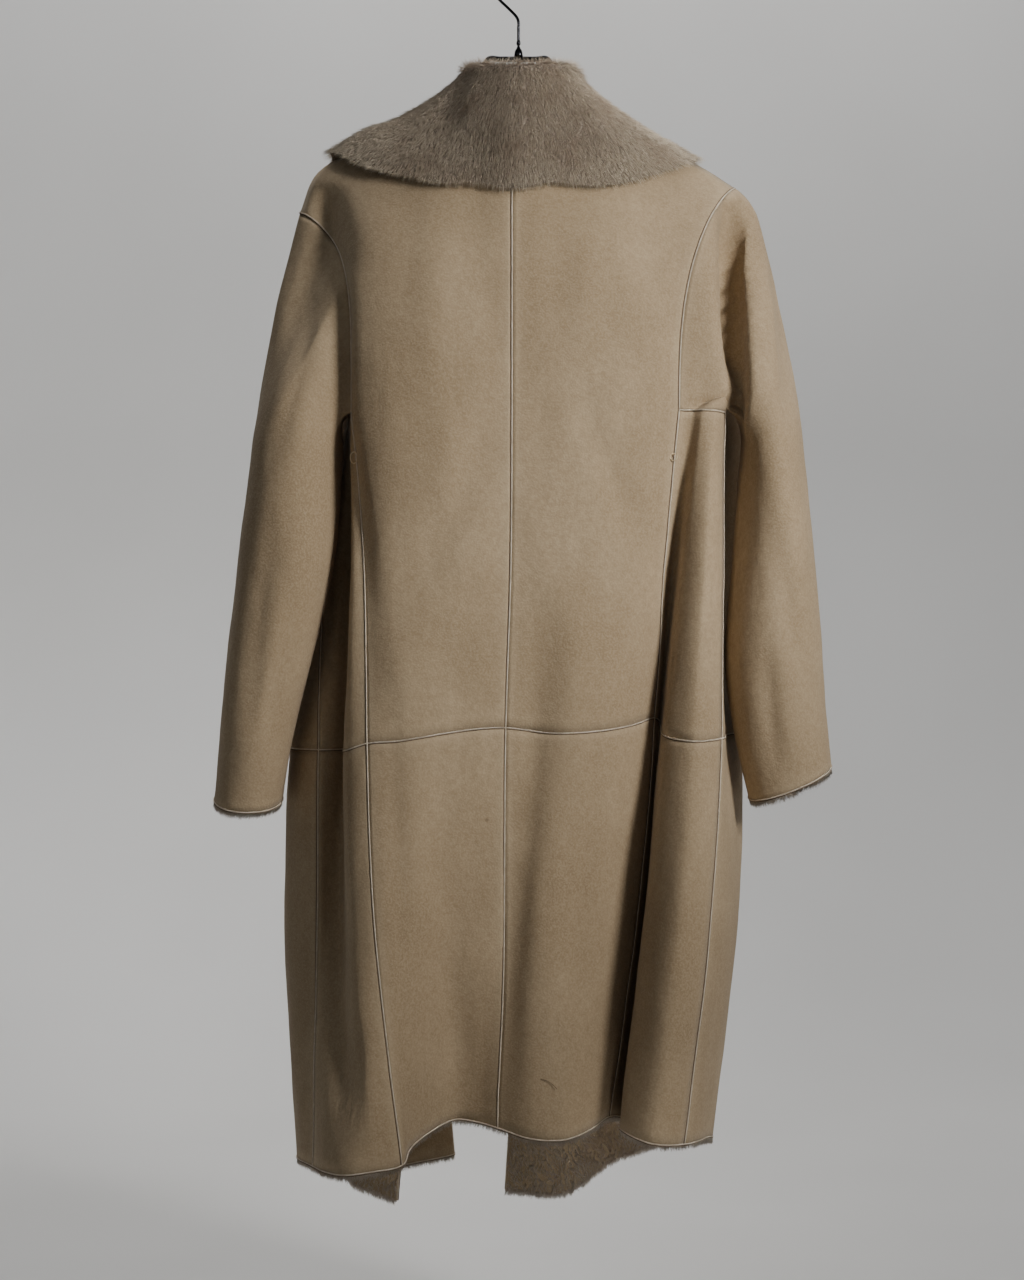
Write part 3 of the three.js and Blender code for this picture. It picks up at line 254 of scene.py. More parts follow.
LEFT_SLEEVE = (
    Section(-493, -219, -25, 45, 60, 0, 0),
    Section(-602, -228, -40, 47.5, 56, 0, 2),
    Section(-691, -243, -42, 42.5, 53, 0, 5),
    Section(-770, -257, -36, 36.5, 49, 2, 9),
    Section(-838, -267, -25, 34, 46, 2, 13),
)
RIGHT_SLEEVE = (
    Section(-492, 253, -12, 31, 68, 0, 0),
    Section(-602, 252, -30, 41, 62, 0, 2),
    Section(-691, 252, -34, 47.5, 53, 4, 5),
    Section(-770, 260, -32, 45, 47, 14, 7),
    Section(-821, 269, -25, 41, 44, 22, 8),
)


def unit(vectors: np.ndarray) -> np.ndarray:
    """Gives vectors a length of one."""
    return vectors / np.maximum(np.linalg.norm(vectors, axis=-1, keepdims=True), 1e-9)


def mix(start: float, end: float, share: float) -> float:
    """Goes a share of the way from start to end."""
    return start + (end - start) * share


class Curve:
    """A smooth curve through points that stays close to them where they bunch."""

    def __init__(self, points: list) -> None:
        """Keeps the points, with one more beyond each end."""
        knots = np.asarray(points, float)
        self.knots = np.vstack([2 * knots[0] - knots[1], knots, 2 * knots[-1] - knots[-2]])

    def at(self, shares: np.ndarray | float) -> np.ndarray:
        """Gives the places at shares of the way along.

        Args:
            shares: One share or several, each from 0 to 1.

        Returns:
            One place, or a row of places for each share.
        """
        wanted = np.atleast_1d(np.asarray(shares, float)) * (len(self.knots) - 3)
        first = np.minimum(np.floor(wanted).astype(int), len(self.knots) - 4)
        weight = (wanted - first)[:, None]
        a, b, c, d = (self.knots[first + k] for k in range(4))
        before, here, after = (np.sqrt(np.linalg.norm(q - p, axis=1))[:, None] for p, q in ((a, b), (b, c), (c, d)))
        here = np.where(here < 1e-4, 1.0, here)
        before = np.where(before < 1e-4, here, before)
        after = np.where(after < 1e-4, here, after)
        leave = ((b - a) / before - (c - a) / (before + here) + (c - b) / here) * here
        arrive = ((c - b) / here - (d - b) / (here + after) + (d - c) / after) * here
        square = -3 * b + 3 * c - 2 * leave - arrive
        cube = 2 * b - 2 * c + leave + arrive
        found = b + leave * weight + square * weight**2 + cube * weight**3
        return found if np.ndim(shares) else found[0]


def creased(points: np.ndarray, start: tuple, end: tuple, depth: float, half_width: float) -> np.ndarray:
    """Pushes the cloth that faces -Y into one of the deep creases of the pattern.

    Args:
        points: Places on the cloth, in rows of three.
        start: Where the crease begins, across and up.
        end: Where it ends.
        depth: How far it is pushed in.
        half_width: Half its width.

    Returns:
        The places, moved.
    """
    share = (points[..., 2] - start[1]) / (end[1] - start[1])
    inside = (share > 0) & (share < 1) & (points[..., 1] < 0)
    held = np.clip(share, 0, 1)
    off = (points[..., 0] - mix(start[0], end[0], held)) / half_width
    behind = np.clip(-points[..., 1] / 20, 0, 1)
    push = depth * behind * np.sin(np.pi * held**0.7) * np.exp(-off * off)
    moved = points.copy()
    moved[..., 1] += np.where(inside, push, 0)
    return moved


def inward_of(grid: np.ndarray) -> np.ndarray:
    """Unit vectors into the coat at a grid's places, square to the cloth."""
    a, b, c, d = grid[:-1, :-1], grid[:-1, 1:], grid[1:, 1:], grid[1:, :-1]
    face = np.nan_to_num(np.cross(c - a, d - b))
    total = np.zeros_like(grid)
    total[:-1, :-1] += face
    total[:-1, 1:] += face
    total[1:, 1:] += face
    total[1:, :-1] += face
    return unit(total)


def pressed(points: np.ndarray, inward: np.ndarray, creases: tuple, share: np.ndarray | float = 1.0) -> np.ndarray:
    """Presses the small creases into cloth, each along its own path.

    Args:
        points: Places on the cloth, in a grid.
        inward: The way into the coat at each of them.
        creases: The creases.
        share: How much of each crease the cloth takes at each place.

    Returns:
        The places, moved.
    """
    push = np.zeros(points.shape[:-1])
    for crease in creases:
        path = np.asarray(crease.path, float)
        lengths = np.linalg.norm(np.diff(path, axis=0), axis=1)
        run = np.concatenate([[0], np.cumsum(lengths)])
        near = np.full(push.shape, 1e9)
        along = np.zeros(push.shape)
        flat = points[..., [0, 2]]
        for i, length in enumerate(lengths):
            way = (path[i + 1] - path[i]) / length
            step = np.clip(((flat - path[i]) * way).sum(-1), 0, length)
            off = flat - path[i] - step[..., None] * way
            gap = np.linalg.norm(off, axis=-1) / np.where(off[..., 0] > 0, crease.steep, 1.0)
            closer = gap < near
            near = np.where(closer, gap, near)
            along = np.where(closer, (run[i] + step) / run[-1], along)
        taper = np.sin(np.pi * np.clip(along, 0, 1)) ** 0.8
        facing = np.clip(-inward[..., 1] * crease.side.value * 1.6, 0, 1)
        push += crease.depth * taper * facing * np.exp(-((near / crease.half_width) ** 2))
    return points + inward * (push * share)[..., None]


def ruffled(points: np.ndarray, inward: np.ndarray, share: np.ndarray | float = 1.0) -> np.ndarray:
    """Gives cloth its small unevenness, longer down the coat than across it."""
    moved = points.copy()
    weights = np.broadcast_to(share, points.shape[:-1])
    for place in np.ndindex(points.shape[:-1]):
        x, y, z = points[place]
        if math.isnan(x):
            continue
        soft = noise.noise(Vector((x / 34, y / 34, z / 95)))
        small = noise.noise(Vector((x / 13 + 7, y / 13, z / 30)))
        moved[place] += inward[place] * (1.5 * soft + 0.45 * small) * weights[place]
    return moved


@dataclass
class Pattern:
    """The body's cloth as a fine grid of places, from the neck to the hem and right round the coat."""

    across: int = 4
    down: tuple[int, int, int] = (3, 4, 4)
    creases: tuple[Crease, ...] = ()
    columns: dict[str, int] = field(default_factory=dict)

    def __post_init__(self) -> None:
        """Draws the grid and its inward directions."""
        spans = ((0, UNDERARM_ROW), (UNDERARM_ROW, HIP_ROW), (HIP_ROW, HEM_ROW))
        steps = [np.arange(a, b, 1 / n) for (a, b), n in zip(spans, self.down)]
        self.rows = np.concatenate([*steps, [HEM_ROW]])
        column = 0
        for line in BODY_LINES:
            self.columns[line.name] = column
            column += line.columns
        self.runs = np.stack([self.line_run(line) for line in BODY_LINES])
        self.grid = np.full((len(self.rows), column * self.across + 1, 3), np.nan)
        for row in range(len(self.rows)):
            self.fill_row(row)
        self.inward = inward_of(self.grid)
        self.turn_seam_directions()
        self.press()

    def line_run(self, line: Line) -> np.ndarray:
        """Gives a line's places at every row."""
        share = np.clip(self.rows / UNDERARM_ROW, 0, 1)
        run = np.full((len(self.rows), 3), np.nan)
        upper = self.rows < UNDERARM_ROW
        if line.top:
            across, deep, height = line.top
            run[:, 2] = mix(height, UNDERARM, share**1.15)
            if line.scye:
                run[:, 0] = mix(across, line.underarm[0], share)
                run[:, 1] = mix(deep, line.underarm[1], share) + line.scye * np.sin(np.pi * share**0.8)
            else:
                run[:, 0] = mix(across, line.underarm[0], 1 - (1 - share) ** line.ease_across)
                run[:, 1] = mix(deep, line.underarm[1], 1 - (1 - share) ** line.ease_deep)
        knots = Curve([
            (*line.underarm, UNDERARM),
            (*line.waist, WAIST),
            (*line.hip[:2], HIP + line.hip[2]),
            (*line.knee, KNEE + (line.hip[2] + line.hem[2]) / 3),
            (*line.hem[:2], HEM + line.hem[2]),
        ])
        lower = np.interp(self.rows, (UNDERARM_ROW, HIP_ROW, HEM_ROW), (0, 0.5, 1))
        run[~upper] = knots.at(lower[~upper])
        return run

    def stretch(self, row: int, first: str, last: str) -> tuple[slice, np.ndarray]:
        """Draws one row's curve from one line to another.

        Args:
            row: The row of the grid.
            first: The name of the line that it starts from.
            last: The name of the line that it ends on.

        Returns:
            The columns that it fills and their places.
        """
        names = [line.name for line in BODY_LINES]
        start, end = names.index(first), names.index(last)
        shares = []
        for i, line in enumerate(BODY_LINES[start:end]):
            count = line.columns * self.across
            shares.append((i + np.arange(count) / count) / (end - start))
        curve = Curve(self.runs[start : end + 1, row])
        places = curve.at(np.concatenate([*shares, [1.0]]))
        begin = self.columns[first] * self.across
        return slice(begin, begin + len(places)), creased(places, (-190, -228), (-172, -330), 18, 15)

    def fill_row(self, row: int) -> None:
        """Fills one row of the grid, with corners at the neck and shoulders along its top edge."""
        whole = [("left_front_edge", "left_side_seam"), ("left_princess", "right_princess"),
                 ("right_side_seam", "right_front_edge")]
        if self.rows[row] >= UNDERARM_ROW:
            whole = [("left_front_edge", "right_front_edge")]
        for ends in whole:
            columns, places = self.stretch(row, *ends)
            self.grid[row, columns] = places
        if self.rows[row] >= 1:
            return
        corners = [("left_front_edge", "left_front_middle"), ("left_front_middle", "left_side_seam"),
                   ("left_princess", "left_neck"), ("left_neck", "right_neck"), ("right_neck", "right_princess"),
                   ("right_side_seam", "right_front_middle"), ("right_front_middle", "right_front_edge")]
        if row == 0:
            smooth = self.grid[0].copy()
            for ends in corners:
                columns, places = self.stretch(0, *ends)
                self.grid[0, columns] = places
            self.turned_corner = self.grid[0] - smooth
        else:
            self.grid[row] += self.turned_corner * (1 - self.rows[row])

    def armhole(self, side: str) -> list[tuple[int, int, float]]:
        """Goes round an armhole: down the back, under the arm and up the front.

        Args:
            side: left or right.

        Returns:
            The row and column of each place, and how far round it lies, in the pattern's own steps.
        """
        princess = self.columns[f"{side}_princess"] * self.across
        seam = self.columns[f"{side}_side_seam"] * self.across
        under = int(np.searchsorted(self.rows, UNDERARM_ROW))
        towards = 1 if seam > princess else -1
        width = abs(seam - princess) / self.across
        places = [(row, princess, float(self.rows[row])) for row in range(under)]
        for column in range(princess, seam, towards):
            places.append((under, column, UNDERARM_ROW + abs(column - princess) / self.across))
        for row in range(under, 0, -1):
            places.append((row, seam, UNDERARM_ROW + width + UNDERARM_ROW - float(self.rows[row])))
        return places

    def turn_seam_directions(self) -> None:
        """Turns the wall at each armhole to its middle, and under each shoulder seam straight in."""
        under = int(np.searchsorted(self.rows, UNDERARM_ROW))
        for side in ("left", "right"):
            places = self.armhole(side)
            middle = np.mean([self.grid[row, column] for row, column, _ in places], axis=0)
            for row, column, _ in places:
                towards = middle - self.grid[row, column]
                towards[0] = 0
                kept = self.inward[row, column] if row == under else 0
                self.inward[row, column] = unit(unit(towards) + kept)
            tops = {line.name: np.array(line.top) for line in BODY_LINES if line.top}
            along = tops[f"{side}_princess"] - tops[f"{side}_neck"]
            along[1] = 0
            along = unit(along)
            beneath = np.array([along[2], 0, -along[0]]) * np.sign(along[0])
            top = self.grid[0]
            seam = (np.sign(top[:, 0]) == np.sign(along[0])) & (np.abs(top[:, 1]) < 0.5)
            self.inward[0, seam] = beneath

    def press(self) -> None:
        """Presses the creases in, less near the shoulder seams."""
        share = np.clip(self.rows / 2.5, 0, 1)[:, None]
        self.grid = pressed(self.grid, self.inward, self.creases, share)
        self.grid = ruffled(self.grid, self.inward, share)

    def place(self, column: float, row: float, values: np.ndarray) -> np.ndarray:
        """Gives a value of one of the grids between its places, at a column and row of the pattern."""
        fine_column = column * self.across
        fine_row = float(np.interp(row, self.rows, np.arange(len(self.rows))))
        c, r = int(math.floor(fine_column)), int(math.floor(fine_row))
        here = values[r, c]

        def corner(down: int, across: int) -> np.ndarray:
            if r + down >= values.shape[0] or c + across >= values.shape[1]:
                return here
            found = values[r + down, c + across]
            return here if np.isnan(found).any() else found

        share, drop = fine_column - c, fine_row - r
        upper = mix(corner(0, 0), corner(0, 1), share)
        return mix(upper, mix(corner(1, 0), corner(1, 1), share), drop)

    def lifted(self, place: tuple[float, float], height: float) -> np.ndarray:
        """Gives a place some height over the body's cloth."""
        return self.place(*place, self.grid) - unit(self.place(*place, self.inward)) * height

    def cut(self, top: float, bottom: float, first: str, last: str) -> tuple[np.ndarray, np.ndarray]:
        """Cuts one rectangle of the pattern out, as its places and inward directions."""
        rows = slice(int(np.searchsorted(self.rows, top)), int(np.searchsorted(self.rows, bottom)) + 1)
        columns = slice(self.columns[first] * self.across, self.columns[last] * self.across + 1)
        return self.grid[rows, columns], self.inward[rows, columns]


def shell(name: str, outer: np.ndarray, inner: np.ndarray, looped: bool = False) -> bpy.types.Object:
    """Makes a closed wall of cloth between two grids of places.

    Args:
        name: The piece's name.
        outer: The grid of the side that faces out.
        inner: The same places on the other side.
        looped: Whether the last column meets the first again.

    Returns:
        The piece, with its outside on the first material and the rest on the second.
    """
    if looped:
        outer, inner = (np.concatenate([grid, grid[:, :1]], axis=1) for grid in (outer, inner))
    rows, columns = outer.shape[:2]
    bm = bmesh.new()
    bm.loops.layers.uv.new("cloth")
    near = bm.verts.layers.float.new("seam")
    edges = _seam_share(outer, looped)
    for grid in (outer, inner):
        made = bmesh.ops.create_grid(bm, x_segments=columns - 1, y_segments=rows - 1, size=1, calc_uvs=True)["verts"]
        for vert, place, share in zip(made, grid.reshape(-1, 3) * MM, edges.reshape(-1)):
            vert.co = place
            vert[near] = share
        if grid is outer:
            faces = list(bm.faces)
            bmesh.ops.reverse_faces(bm, faces=faces)
            rim = [edge for edge in bm.edges if edge.is_boundary]
            if looped:
                ends = {vert for i, vert in enumerate(made) if i % columns in (0, columns - 1)}
                rim = [edge for edge in rim if not set(edge.verts) <= ends]
            shift = {vert.co.copy().freeze(): place for vert, place in zip(made, inner.reshape(-1, 3) * MM)}
            drawn = bmesh.ops.extrude_edge_only(bm, edges=rim)["geom"]
            for vert in (item for item in drawn if isinstance(item, bmesh.types.BMVert)):
                vert.co = shift[vert.co.copy().freeze()]
    wool = set(bm.faces) - set(faces)
    for face in bm.faces:
        face.smooth = True
        face.material_index = 1 if face in wool else 0
    bmesh.ops.remove_doubles(bm, verts=bm.verts, dist=1e-6)
    bmesh.ops.recalc_face_normals(bm, faces=bm.faces)
    mesh = bpy.data.meshes.new(name)
    bm.to_mesh(mesh)
    bm.free()
    return placed(name, mesh)


def _seam_share(grid: np.ndarray, looped: bool) -> np.ndarray:
    """Says how near each place of a grid lies to a sewn edge, from 1 on it to 0 well away from it."""
    along = np.linalg.norm(np.diff(grid, axis=0), axis=-1)
    down = np.concatenate([np.zeros((1, grid.shape[1])), np.cumsum(along, axis=0)])
    gaps = [down, down[-1:] - down]
    if not looped:
        steps = np.linalg.norm(np.diff(grid, axis=1), axis=-1)
        across = np.concatenate([np.zeros((grid.shape[0], 1)), np.cumsum(steps, axis=1)], axis=1)
        gaps += [across, across[:, -1:] - across]
    return np.exp(-((np.minimum.reduce(gaps) / 7.0) ** 2))


def placed(name: str, mesh: bpy.types.Mesh) -> bpy.types.Object:
    """Puts a mesh into the scene as a piece that rides on the coat."""
    piece = bpy.data.objects.new(name, mesh)
    bpy.context.scene.collection.objects.link(piece)
    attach(piece, "root")
    log.info("%s: %d faces", name, len(mesh.polygons))
    return piece


def cords(name: str, paths: list, radius: float, sides: int = 1) -> bpy.types.Object:
    """Makes round threads, welts or rods along paths, as one piece.

    Args:
        name: The piece's name.
        paths: The places that each one follows, in millimetres.
        radius: Its radius in millimetres.
        sides: How finely it is rounded.

    Returns:
        The piece.
    """
    curve = bpy.data.curves.new(name, "CURVE")
    curve.dimensions = "3D"
    curve.bevel_depth = radius * MM
    curve.bevel_resolution = sides
    curve.use_fill_caps = True
    curve.twist_mode = "MINIMUM"
    for path in paths:
        spline = curve.splines.new("POLY")
        spline.points.add(len(path) - 1)
        for point, place in zip(spline.points, np.asarray(path) * MM):
            point.co = (*place, 1)
    source = bpy.data.objects.new(name, curve)
    bpy.context.scene.collection.objects.link(source)
    seen = source.evaluated_get(bpy.context.evaluated_depsgraph_get())
    bm = bmesh.new()
    bm.from_mesh(bpy.data.meshes.new_from_object(seen))
    bpy.data.objects.remove(source)
    bmesh.ops.remove_doubles(bm, verts=bm.verts, dist=1e-6)
    bmesh.ops.recalc_face_normals(bm, faces=bm.faces)
    for face in bm.faces:
        face.smooth = len(face.verts) == 4
    mesh = bpy.data.meshes.new(name)
    bm.to_mesh(mesh)
    bm.free()
    return placed(name, mesh)


@dataclass
class Locks:
    """Wool as many tapered locks in one mesh, each a closed point on three sides."""

    seed: int
    length: float
    width: float
    spread: float = 0.6
    rise: float = 0.42
    tuft: float = 1.0

    def __post_init__(self) -> None:
        """Starts the locks' own sequence of chances."""
        self.chance = np.random.default_rng(self.seed)

    def scatter(self, grid: np.ndarray, way: np.ndarray, out: np.ndarray, count: int) -> tuple:
        """Picks places on a surface, evenly by its area.

        Args:
            grid: The surface's places.
            way: How the wool runs at each.
            out: The way out of the surface at each.
            count: How many locks to place.

        Returns:
            The roots, the ways, the ways out and how far down the grid each lies, a row for each lock.
        """
        a, b, c, d = grid[:-1, :-1], grid[:-1, 1:], grid[1:, 1:], grid[1:, :-1]
        area = np.linalg.norm(np.cross(c - a, d - b), axis=-1)
        cell = self.chance.choice(area.size, count, p=(area / area.sum()).ravel())
        row, column = np.unravel_index(cell, area.shape)
        u, v = self.chance.random((2, count, 1))

        def read(values: np.ndarray) -> np.ndarray:
            upper = values[row, column] * (1 - u) + values[row, column + 1] * u
            lower = values[row + 1, column] * (1 - u) + values[row + 1, column + 1] * u
            return upper * (1 - v) + lower * v

        return read(grid), unit(read(way)), unit(read(out)), (row + v[:, 0]) / area.shape[0]

    def grow(self, name: str, roots: np.ndarray, ways: np.ndarray, outs: np.ndarray,
             light: np.ndarray | float = 0.5, stand: np.ndarray | float = 0.0) -> bpy.types.Object:
        """Makes the locks.

        Args:
            name: The piece's name.
            roots: Where each lock grows from.
            ways: How each one runs along the surface.
            outs: The way out of the surface at each.
            light: How pale each one is, from 0 to 1.
            stand: How much more than the others each one stands up.

        Returns:
            The piece.
        """
        count = len(roots)
        log.info("%s: %d locks", name, count)
        size = self.chance.random
        side = unit(np.cross(ways, outs))
        turn = self.clumped(roots) * self.tuft + (size((count, 1)) - 0.5) * self.spread
        rise = self.rise * (0.4 + 1.2 * size((count, 1))) + np.reshape(stand, (-1, 1))
        run = unit(ways * np.cos(turn) + side * np.sin(turn) + outs * rise)
        side = unit(np.cross(run, outs))
        up = np.cross(run, side)
        half = self.width / 2 * (0.7 + 0.6 * size((count, 1)))
        places = np.empty((count, 4, 3))
        for k in range(3):
            angle = math.tau * k / 3 + 0.5
            places[:, k] = roots + (side * math.cos(angle) + up * math.sin(angle)) * half
        places[:, 3] = roots + run * self.length * (0.6 + 0.6 * size((count, 1)))
        return self.mesh(name, places, np.clip(light + 0.5 * (size(count) - 0.5), 0, 1))

    def clumped(self, roots: np.ndarray) -> np.ndarray:
        """Turns whole tufts of wool the same way."""
        turns = [noise.noise(Vector(root) / 14) + 0.6 * noise.noise(Vector(root) / 5) for root in roots]
        return np.array(turns)[:, None]

    def mesh(self, name: str, places: np.ndarray, shades: np.ndarray) -> bpy.types.Object:
        """Joins the locks' places up, and writes each lock's own shade and how far along it runs."""
        count = len(places)
        corners = np.array([2, 1, 0, 0, 1, 3, 1, 2, 3, 2, 0, 3])
        loops = (np.arange(count)[:, None] * 4 + corners).ravel()
        mesh = bpy.data.meshes.new(name)
        mesh.vertices.add(count * 4)
        mesh.vertices.foreach_set("co", (places * MM).astype(np.float32).ravel())
        mesh.loops.add(len(loops))
        mesh.loops.foreach_set("vertex_index", loops.astype(np.int32))
        mesh.polygons.add(count * 4)
        mesh.polygons.foreach_set("loop_start", np.arange(0, count * 12, 3, dtype=np.int32))
        mesh.polygons.foreach_set("use_smooth", np.ones(count * 4, bool))
        along = np.tile(np.where(corners == 3, 0.98, 0.02), count)
        layer = mesh.uv_layers.new(name="lock")
        own = np.repeat(shades, len(corners))
        layer.data.foreach_set("uv", np.stack([own, along], axis=1).astype(np.float32).ravel())
        mesh.update(calc_edges=True)
        mesh.validate()
        return placed(name, mesh)


class Recipe:
    """A material's nodes, added and joined in few words."""

    def __init__(self, name: str, roughness: float, metallic: float = 0.0) -> None:
        """Starts a material on the plain shader."""
        self.material = bpy.data.materials.new(name)
        self.material.use_nodes = True
        self.tree = self.material.node_tree
        self.shader = self.tree.nodes["Principled BSDF"]
        self.set("Roughness", roughness)
        self.set("Metallic", metallic)

    def set(self, socket: str, value: float | tuple) -> None:
        """Sets one of the shader's own sockets."""
        self.shader.inputs[socket].default_value = value

    def add(self, kind: str, inputs: dict | None = None, **settings: object) -> bpy.types.Node:
        """Adds a node with its settings and the values of its inputs."""
        node = self.tree.nodes.new(kind)
        for key, value in settings.items():
            setattr(node, key, value)
        for key, value in (inputs or {}).items():
            if isinstance(value, bpy.types.NodeSocket):
                self.tree.links.new(value, node.inputs[key])
            else:
                node.inputs[key].default_value = value
        return node

    def feed(self, source: bpy.types.NodeSocket, socket: str) -> None:
        """Joins a socket to one of the shader's."""
        self.tree.links.new(source, self.shader.inputs[socket])

    def places(self) -> bpy.types.NodeSocket:
        """Gives the coat's own coordinates."""
        return self.add("ShaderNodeTexCoord").outputs["Object"]

    def cloud(self, size: float, detail: float, low: float, high: float, stretch: tuple = (1, 1, 1)) -> bpy.types.NodeSocket:
        """Gives soft patches of a size in metres, from 0 to 1 between two levels of the noise."""
        turned = self.add("ShaderNodeMapping", {"Vector": self.places(), "Scale": tuple(k / size for k in stretch)})
        patches = self.add("ShaderNodeTexNoise", {"Vector": turned.outputs[0], "Scale": 1.0, "Detail": detail})
        held = self.add("ShaderNodeMapRange", {"Value": patches.outputs["Fac"], "From Min": low, "From Max": high})
        return held.outputs["Result"]

    def near(self, place: tuple, reach: float) -> bpy.types.NodeSocket:
        """Gives 1 at a place in millimetres, falling softly to 0 at its reach, the same a little deeper."""
        x, y, z = (value * MM for value in place)
        flat = self.add("ShaderNodeMapping", {"Vector": self.places(), "Scale": (1, 0.05, 1)})
        gap = self.add("ShaderNodeVectorMath", {0: flat.outputs[0], 1: (x, y * 0.05, z)}, operation="DISTANCE")
        share = self.add("ShaderNodeMapRange", {"Value": gap.outputs["Value"], "From Min": reach * MM, "From Max": 0.0},
                         interpolation_type="SMOOTHSTEP")
        return share.outputs["Result"]

    def blend(self, share: bpy.types.NodeSocket | float, low: object, high: object, kind: str = "MIX") -> bpy.types.NodeSocket:
        """Blends two colours by a share."""
        node = self.add("ShaderNodeMix", data_type="RGBA", blend_type=kind)
        for index, value in ((0, share), (6, low), (7, high)):
            if isinstance(value, bpy.types.NodeSocket):
                self.tree.links.new(value, node.inputs[index])
            else:
                node.inputs[index].default_value = value
        return node.outputs[2]

    def scaled(self, source: bpy.types.NodeSocket, factor: float) -> bpy.types.NodeSocket:
        """Multiplies a value that changes over the surface."""
        return self.add("ShaderNodeMath", {0: source, 1: factor}, operation="MULTIPLY").outputs[0]

    def summed(self, one: bpy.types.NodeSocket, other: bpy.types.NodeSocket) -> bpy.types.NodeSocket:
        """Adds two values that change over the surface."""
        return self.add("ShaderNodeMath", {0: one, 1: other}, operation="ADD").outputs[0]

    def bump(self, height: bpy.types.NodeSocket, distance: float, strength: float = 1.0) -> None:
        """Gives the surface relief, with its height in metres."""
        node = self.add("ShaderNodeBump", {"Height": height, "Distance": distance, "Strength": strength})
        self.feed(node.outputs[0], "Normal")


def shade(red: float, green: float, blue: float) -> tuple[float, float, float, float]:
    """Gives a colour in linear light from its values out of 255."""
    def linear(value: float) -> float:
        part = value / 255
        return part / 12.92 if part <= 0.04045 else ((part + 0.055) / 1.055) ** 2.4
    return (linear(red), linear(green), linear(blue), 1.0)


@dataclass(frozen=True)
class Suede:
    """The brushed flesh side of the hide: soft patches, a short nap and paler sewn edges."""

    body: tuple = shade(178, 156, 125)
    worn: tuple = shade(151, 130, 101)
    pale: tuple = shade(196, 176, 146)
    dark: tuple = shade(132, 110, 82)
    stained: tuple = shade(84, 62, 44)
    spots: tuple = (((-30, -92, -854), 3.5, 0.5), ((-286, -36, -752), 1.4, 0.8), ((208, -58, -459), 2.2, 0.5),
                    ((209, -58, -475), 2.0, 0.4))
    ripples: tuple = (-160, -140, -1124)

    def make(self) -> bpy.types.Material:
        """Makes the finish."""
        recipe = Recipe("suede", 0.95)
        colour = recipe.blend(recipe.cloud(0.16, 4, 0.35, 0.68), self.body, self.worn)
        brushed = recipe.cloud(0.024, 5, 0.3, 0.75, (1, 1, 0.45))
        colour = recipe.blend(recipe.scaled(brushed, 0.5), colour, self.worn)
        curd = recipe.cloud(0.006, 4, 0.36, 0.66)
        colour = recipe.blend(recipe.scaled(curd, 0.3), colour, self.dark)
        fleck = recipe.cloud(0.0019, 2, 0.4, 0.72)
        colour = recipe.blend(recipe.scaled(fleck, 0.34), colour, self.pale)
        seam = recipe.add("ShaderNodeAttribute", attribute_name="seam").outputs["Fac"]
        colour = recipe.blend(recipe.scaled(seam, 0.3), colour, self.pale)
        for place, radius, strength in self.spots:
            colour = recipe.blend(recipe.scaled(recipe.near(place, radius), strength), colour, self.stained)
        recipe.feed(colour, "Base Color")
        rough = recipe.add("ShaderNodeMapRange", {"Value": brushed, "To Min": 0.88, "To Max": 1.0})
        recipe.feed(rough.outputs["Result"], "Roughness")
        relief = recipe.summed(recipe.scaled(fleck, 0.14), recipe.scaled(curd, 0.12))
        relief = recipe.summed(relief, recipe.scaled(recipe.cloud(0.014, 3, 0.25, 0.75), 0.14))
        relief = recipe.summed(relief, recipe.scaled(recipe.cloud(0.04, 2, 0.2, 0.8, (1, 1, 0.35)), 0.7))
        zone = recipe.near(self.ripples, 46.0)
        ripple = recipe.cloud(0.006, 2, 0.25, 0.75, (1, 1, 0.22))
        ripple = recipe.add("ShaderNodeMath", {0: ripple, 1: zone}, operation="MULTIPLY").outputs[0]
        recipe.bump(recipe.summed(relief, recipe.scaled(ripple, 0.7)), 0.0012)
        recipe.set("Sheen Weight", 0.1)
        recipe.set("Sheen Roughness", 0.5)
        recipe.set("Specular IOR Level", 0.12)
        return recipe.material


@dataclass(frozen=True)
class ClippedWool:
    """The wool side of the hide where it lies close: small curls over the skin."""

    deep: tuple = shade(126, 113, 99)
    tip: tuple = shade(176, 161, 143)

    def make(self) -> bpy.types.Material:
        """Makes the finish."""
        recipe = Recipe("clipped_wool", 1.0)
        curls = recipe.cloud(0.0035, 4, 0.3, 0.7)
        tufts = recipe.cloud(0.02, 3, 0.3, 0.7)
        colour = recipe.blend(curls, self.deep, self.tip)
        colour = recipe.blend(recipe.scaled(tufts, 0.4), colour, self.deep)
        recipe.feed(colour, "Base Color")
        recipe.bump(recipe.summed(curls, recipe.scaled(tufts, 0.8)), 0.0022)
        recipe.set("Specular IOR Level", 0.1)
        return recipe.material


